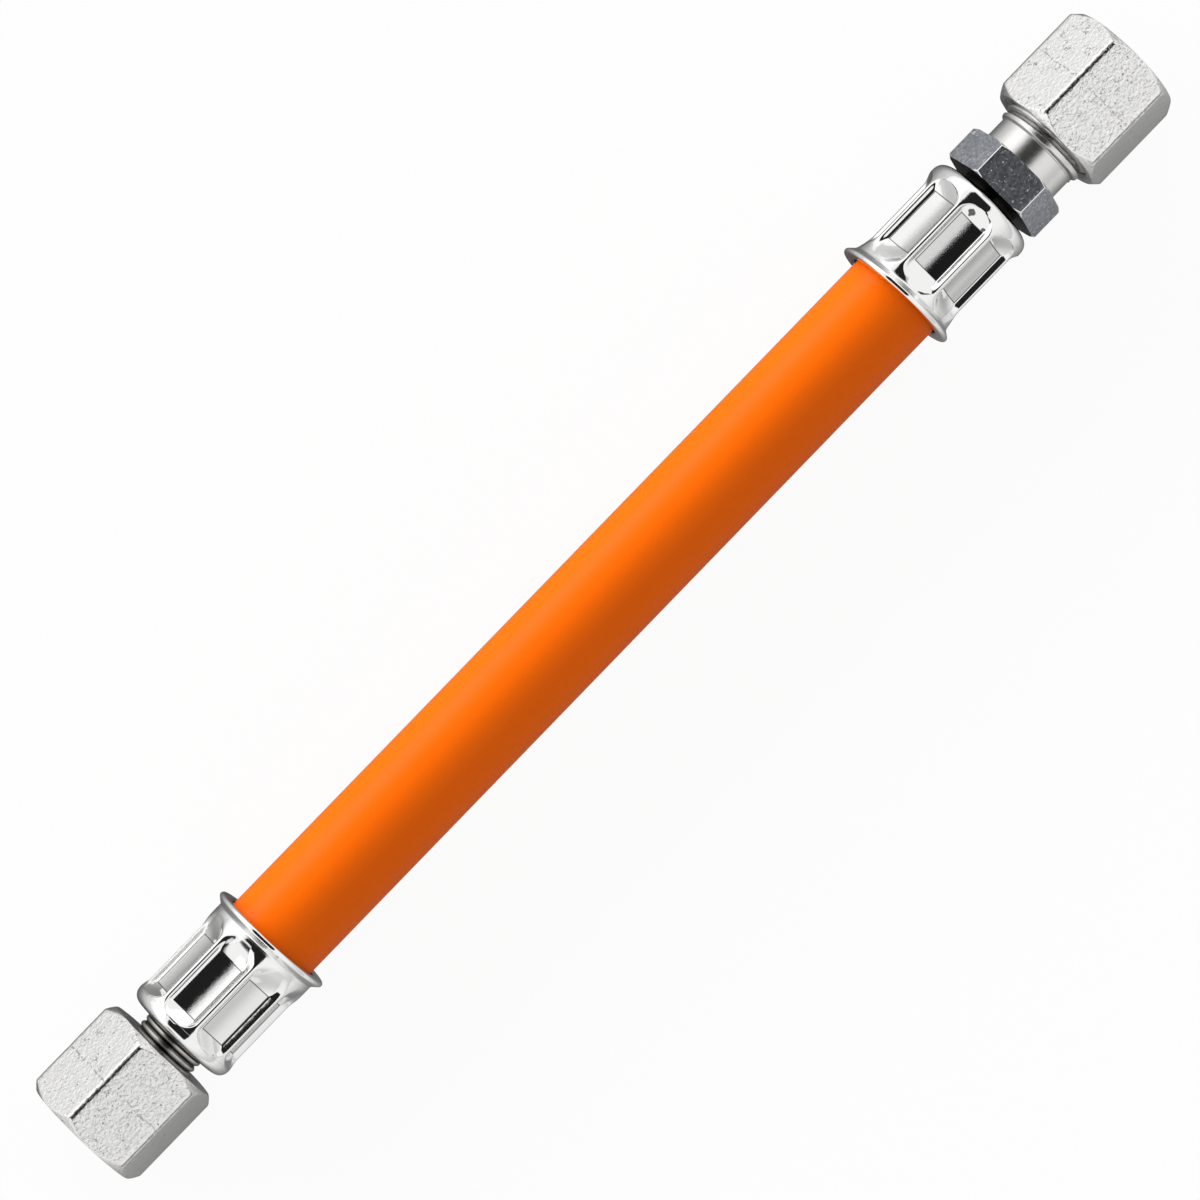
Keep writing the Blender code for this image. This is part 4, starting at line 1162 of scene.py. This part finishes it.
def stud():
    angle, full = hexagon(STUD_FLATS, math.pi + STUD_CLOCK, STUD_RIDGE, 16, 5)
    low, high = STUD_HEX
    corner = STUD_FLATS / math.sqrt(3)
    face = corner - STUD_CHAMFER / FLANK
    drop = np.maximum(full - face, 0) * FLANK
    rim = np.minimum(full, face)
    corners = stem_corners() + [
        (GROOVE, low, 0.0, 0, 3), (rim, low, 0.04, 2, 1), (full, low + drop, 0.12, 3, 10),
        (full, high - drop, 0.12, 3, 1), (rim, high, 0.04, 2, 3),
        (STUD_NECK, high, 0.08, 2, 10), (STUD_NECK, NECK_END, 0.0, 0, 100),
        (STUD_NECK, STUD_TIP, 0.0, 0, 3), (CONE_MOUTH, STUD_TIP, 0.06, 2, 4),
        (PIPE_SOCKET, STUD_TIP - (CONE_MOUTH - PIPE_SOCKET) / CONE_SLOPE, 0.0, 0, 3),
        (PIPE_SOCKET, STUD_TIP - PIPE_DEPTH, 0.0, 0, 2), (STEM_BORE, STUD_TIP - PIPE_DEPTH, 0.0, 0, 12)]
    radius, height = section(corners)
    on_thread = (height >= NECK_END - TOUCH) & (np.abs(radius - STUD_NECK) < TOUCH)
    grown = np.interp(height, *RUN_OUT) - np.maximum(height - (STUD_TIP - TIP_CHAMFER), 0)
    thread = np.minimum(grown, male_thread(angle[None, :], height, NECK_END - PITCH / 2))
    radius = np.where(on_thread, np.maximum(thread, STUD_NECK), radius)
    return ring_mesh("stud_fitting_a", radius, height, angle[None, :], 30)


fit(stud(), END_A, "hose_assembly", "turned_steel", stud_steel, "stud_a")

# %% [markdown]
# ## Cutting ring
#
# The ring sits between the stud's cone and the nut's seat. When the nut is tightened it bites into
# the pipe. It is a small turned piece with a thin nose, a waist and a collar.

# %% Cutting ring
RING_BORE, RING_NOSE, RING_WAIST, RING_COLLAR, RING_BACK = 4.05, 4.35, 4.85, 5.3, 4.45
WAIST_HEIGHT, COLLAR_LENGTH = 2.5, 2.2
ring_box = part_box("cutting_ring_a")
ring_low = ring_box[0][0] / MM - MOUTH_A
RING_LENGTH = ring_box[1][0] / MM - MOUTH_A - ring_low
collar_back = RING_LENGTH - (RING_COLLAR - RING_BACK)
ring_corners = [
    (RING_BORE, 0.0, 0.05, 1, 3), (RING_NOSE, 0.0, 0.05, 1, 3), (RING_WAIST, WAIST_HEIGHT, 0.12, 2, 3),
    (RING_COLLAR, collar_back - COLLAR_LENGTH, 0.12, 3, 4), (RING_COLLAR, collar_back, 0.12, 3, 3),
    (RING_BACK, RING_LENGTH, 0.06, 2, 2), (RING_BORE, RING_LENGTH, 0.05, 1, 8)]
gripping_ring = ring_mesh("gripping_ring_a", *section(ring_corners), evenly_round(96)[None, :], 35)
fit(gripping_ring, END_A @ Matrix.Translation((0, 0, ring_low * MM)), "cutting_ring", "turned_steel",
    ring_steel, "cutting_ring_a")
print("ring from", round(ring_low, 3), "for", round(RING_LENGTH, 3), "mm")

# %% [markdown]
# ## Tail of end B
#
# The tail has the same barbed stem, a neck with turned rings that shows between sleeve and nut, a
# head that holds the swivel nut, and a tapered nose with a groove for the O-ring.

# %% Tail
RIB_CREST, RIB_DEPTH, RIB_PITCH, RIB_COUNT = 4.77, 0.4, 1.05, 4
TAIL_NECK = 4.4
HEAD, HEAD_LENGTH = 5.9, 1.7
NOSE, NOSE_LENGTH = 4.95, 4.0
tail_end = (b_high[0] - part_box("tail_b")[0][0]) / MM
HEAD_FRONT = tail_end - NOSE_LENGTH
HEAD_BACK = HEAD_FRONT - HEAD_LENGTH
O_RING_MIDDLE = HEAD_FRONT + 1.3
O_RING_OUTER, O_RING_SECTION = 4.9, 1.4
SEAL_HALF_GROOVE, SEAL_GAP = 0.85, 0.3      # half the groove's width, and the room under the ring
GROOVE_LOW, GROOVE_HIGH = O_RING_MIDDLE - SEAL_HALF_GROOVE, O_RING_MIDDLE + SEAL_HALF_GROOVE
GROOVE_ROOT = O_RING_OUTER - O_RING_SECTION - SEAL_GAP


def nose_radius(height):
    """Radius of the tapered nose."""
    return NOSE - (height - HEAD_FRONT) * CONE_SLOPE


def tail():
    corners = stem_corners() + [(GROOVE, SLEEVE_LENGTH, 0.05, 2, 2)]
    for i in range(RIB_COUNT):
        middle = SLEEVE_LENGTH + (i + 0.5) * RIB_PITCH
        corners += [(RIB_CREST, middle - RIB_PITCH / 6, 0.15, 3, 1),
                    (RIB_CREST, middle + RIB_PITCH / 6, 0.15, 3, 2),
                    (RIB_CREST - RIB_DEPTH, middle + RIB_PITCH / 2, 0.1, 3, 2)]
    corners += [
        (TAIL_NECK, HEAD_BACK - (HEAD - TAIL_NECK), 0.0, 0, 3), (HEAD, HEAD_BACK, 0.12, 3, 3),
        (HEAD, HEAD_FRONT, 0.12, 3, 2), (NOSE, HEAD_FRONT, 0.0, 0, 2),
        (nose_radius(GROOVE_LOW), GROOVE_LOW, 0.06, 2, 2), (GROOVE_ROOT, GROOVE_LOW, 0.1, 2, 2),
        (GROOVE_ROOT, GROOVE_HIGH, 0.1, 2, 2), (nose_radius(GROOVE_HIGH), GROOVE_HIGH, 0.06, 2, 3),
        (nose_radius(tail_end), tail_end, 0.15, 3, 2), (STEM_BORE, tail_end, 0.15, 3, 14)]
    return ring_mesh("tail_fitting_b", *section(corners), evenly_round(96)[None, :], 35)


fit(tail(), END_B, "hose_assembly", "turned_steel", tail_steel, "tail_b")
print("tail head from", round(HEAD_BACK, 3), "to", round(HEAD_FRONT, 3), "nose to", round(tail_end, 3))

# %% [markdown]
# ## O-ring
#
# The seal is a plain rubber ring that lies in the groove of the nose and stands a little proud of it,
# so that it is squeezed when the nut is tightened. Its section is one circle, swept like the rest.

# %% O-ring
turn = evenly_round(24)[:, None]
seal_radius = O_RING_OUTER - O_RING_SECTION / 2 * (1 - np.cos(turn))
seal_height = O_RING_SECTION / 2 * np.sin(turn)
seal = ring_mesh("seal_b", seal_radius, seal_height, evenly_round(96)[None, :])
fit(seal, END_B @ Matrix.Translation((0, 0, O_RING_MIDDLE * MM)), "hose_assembly", "black_rubber",
    black_rubber, "o_ring_b")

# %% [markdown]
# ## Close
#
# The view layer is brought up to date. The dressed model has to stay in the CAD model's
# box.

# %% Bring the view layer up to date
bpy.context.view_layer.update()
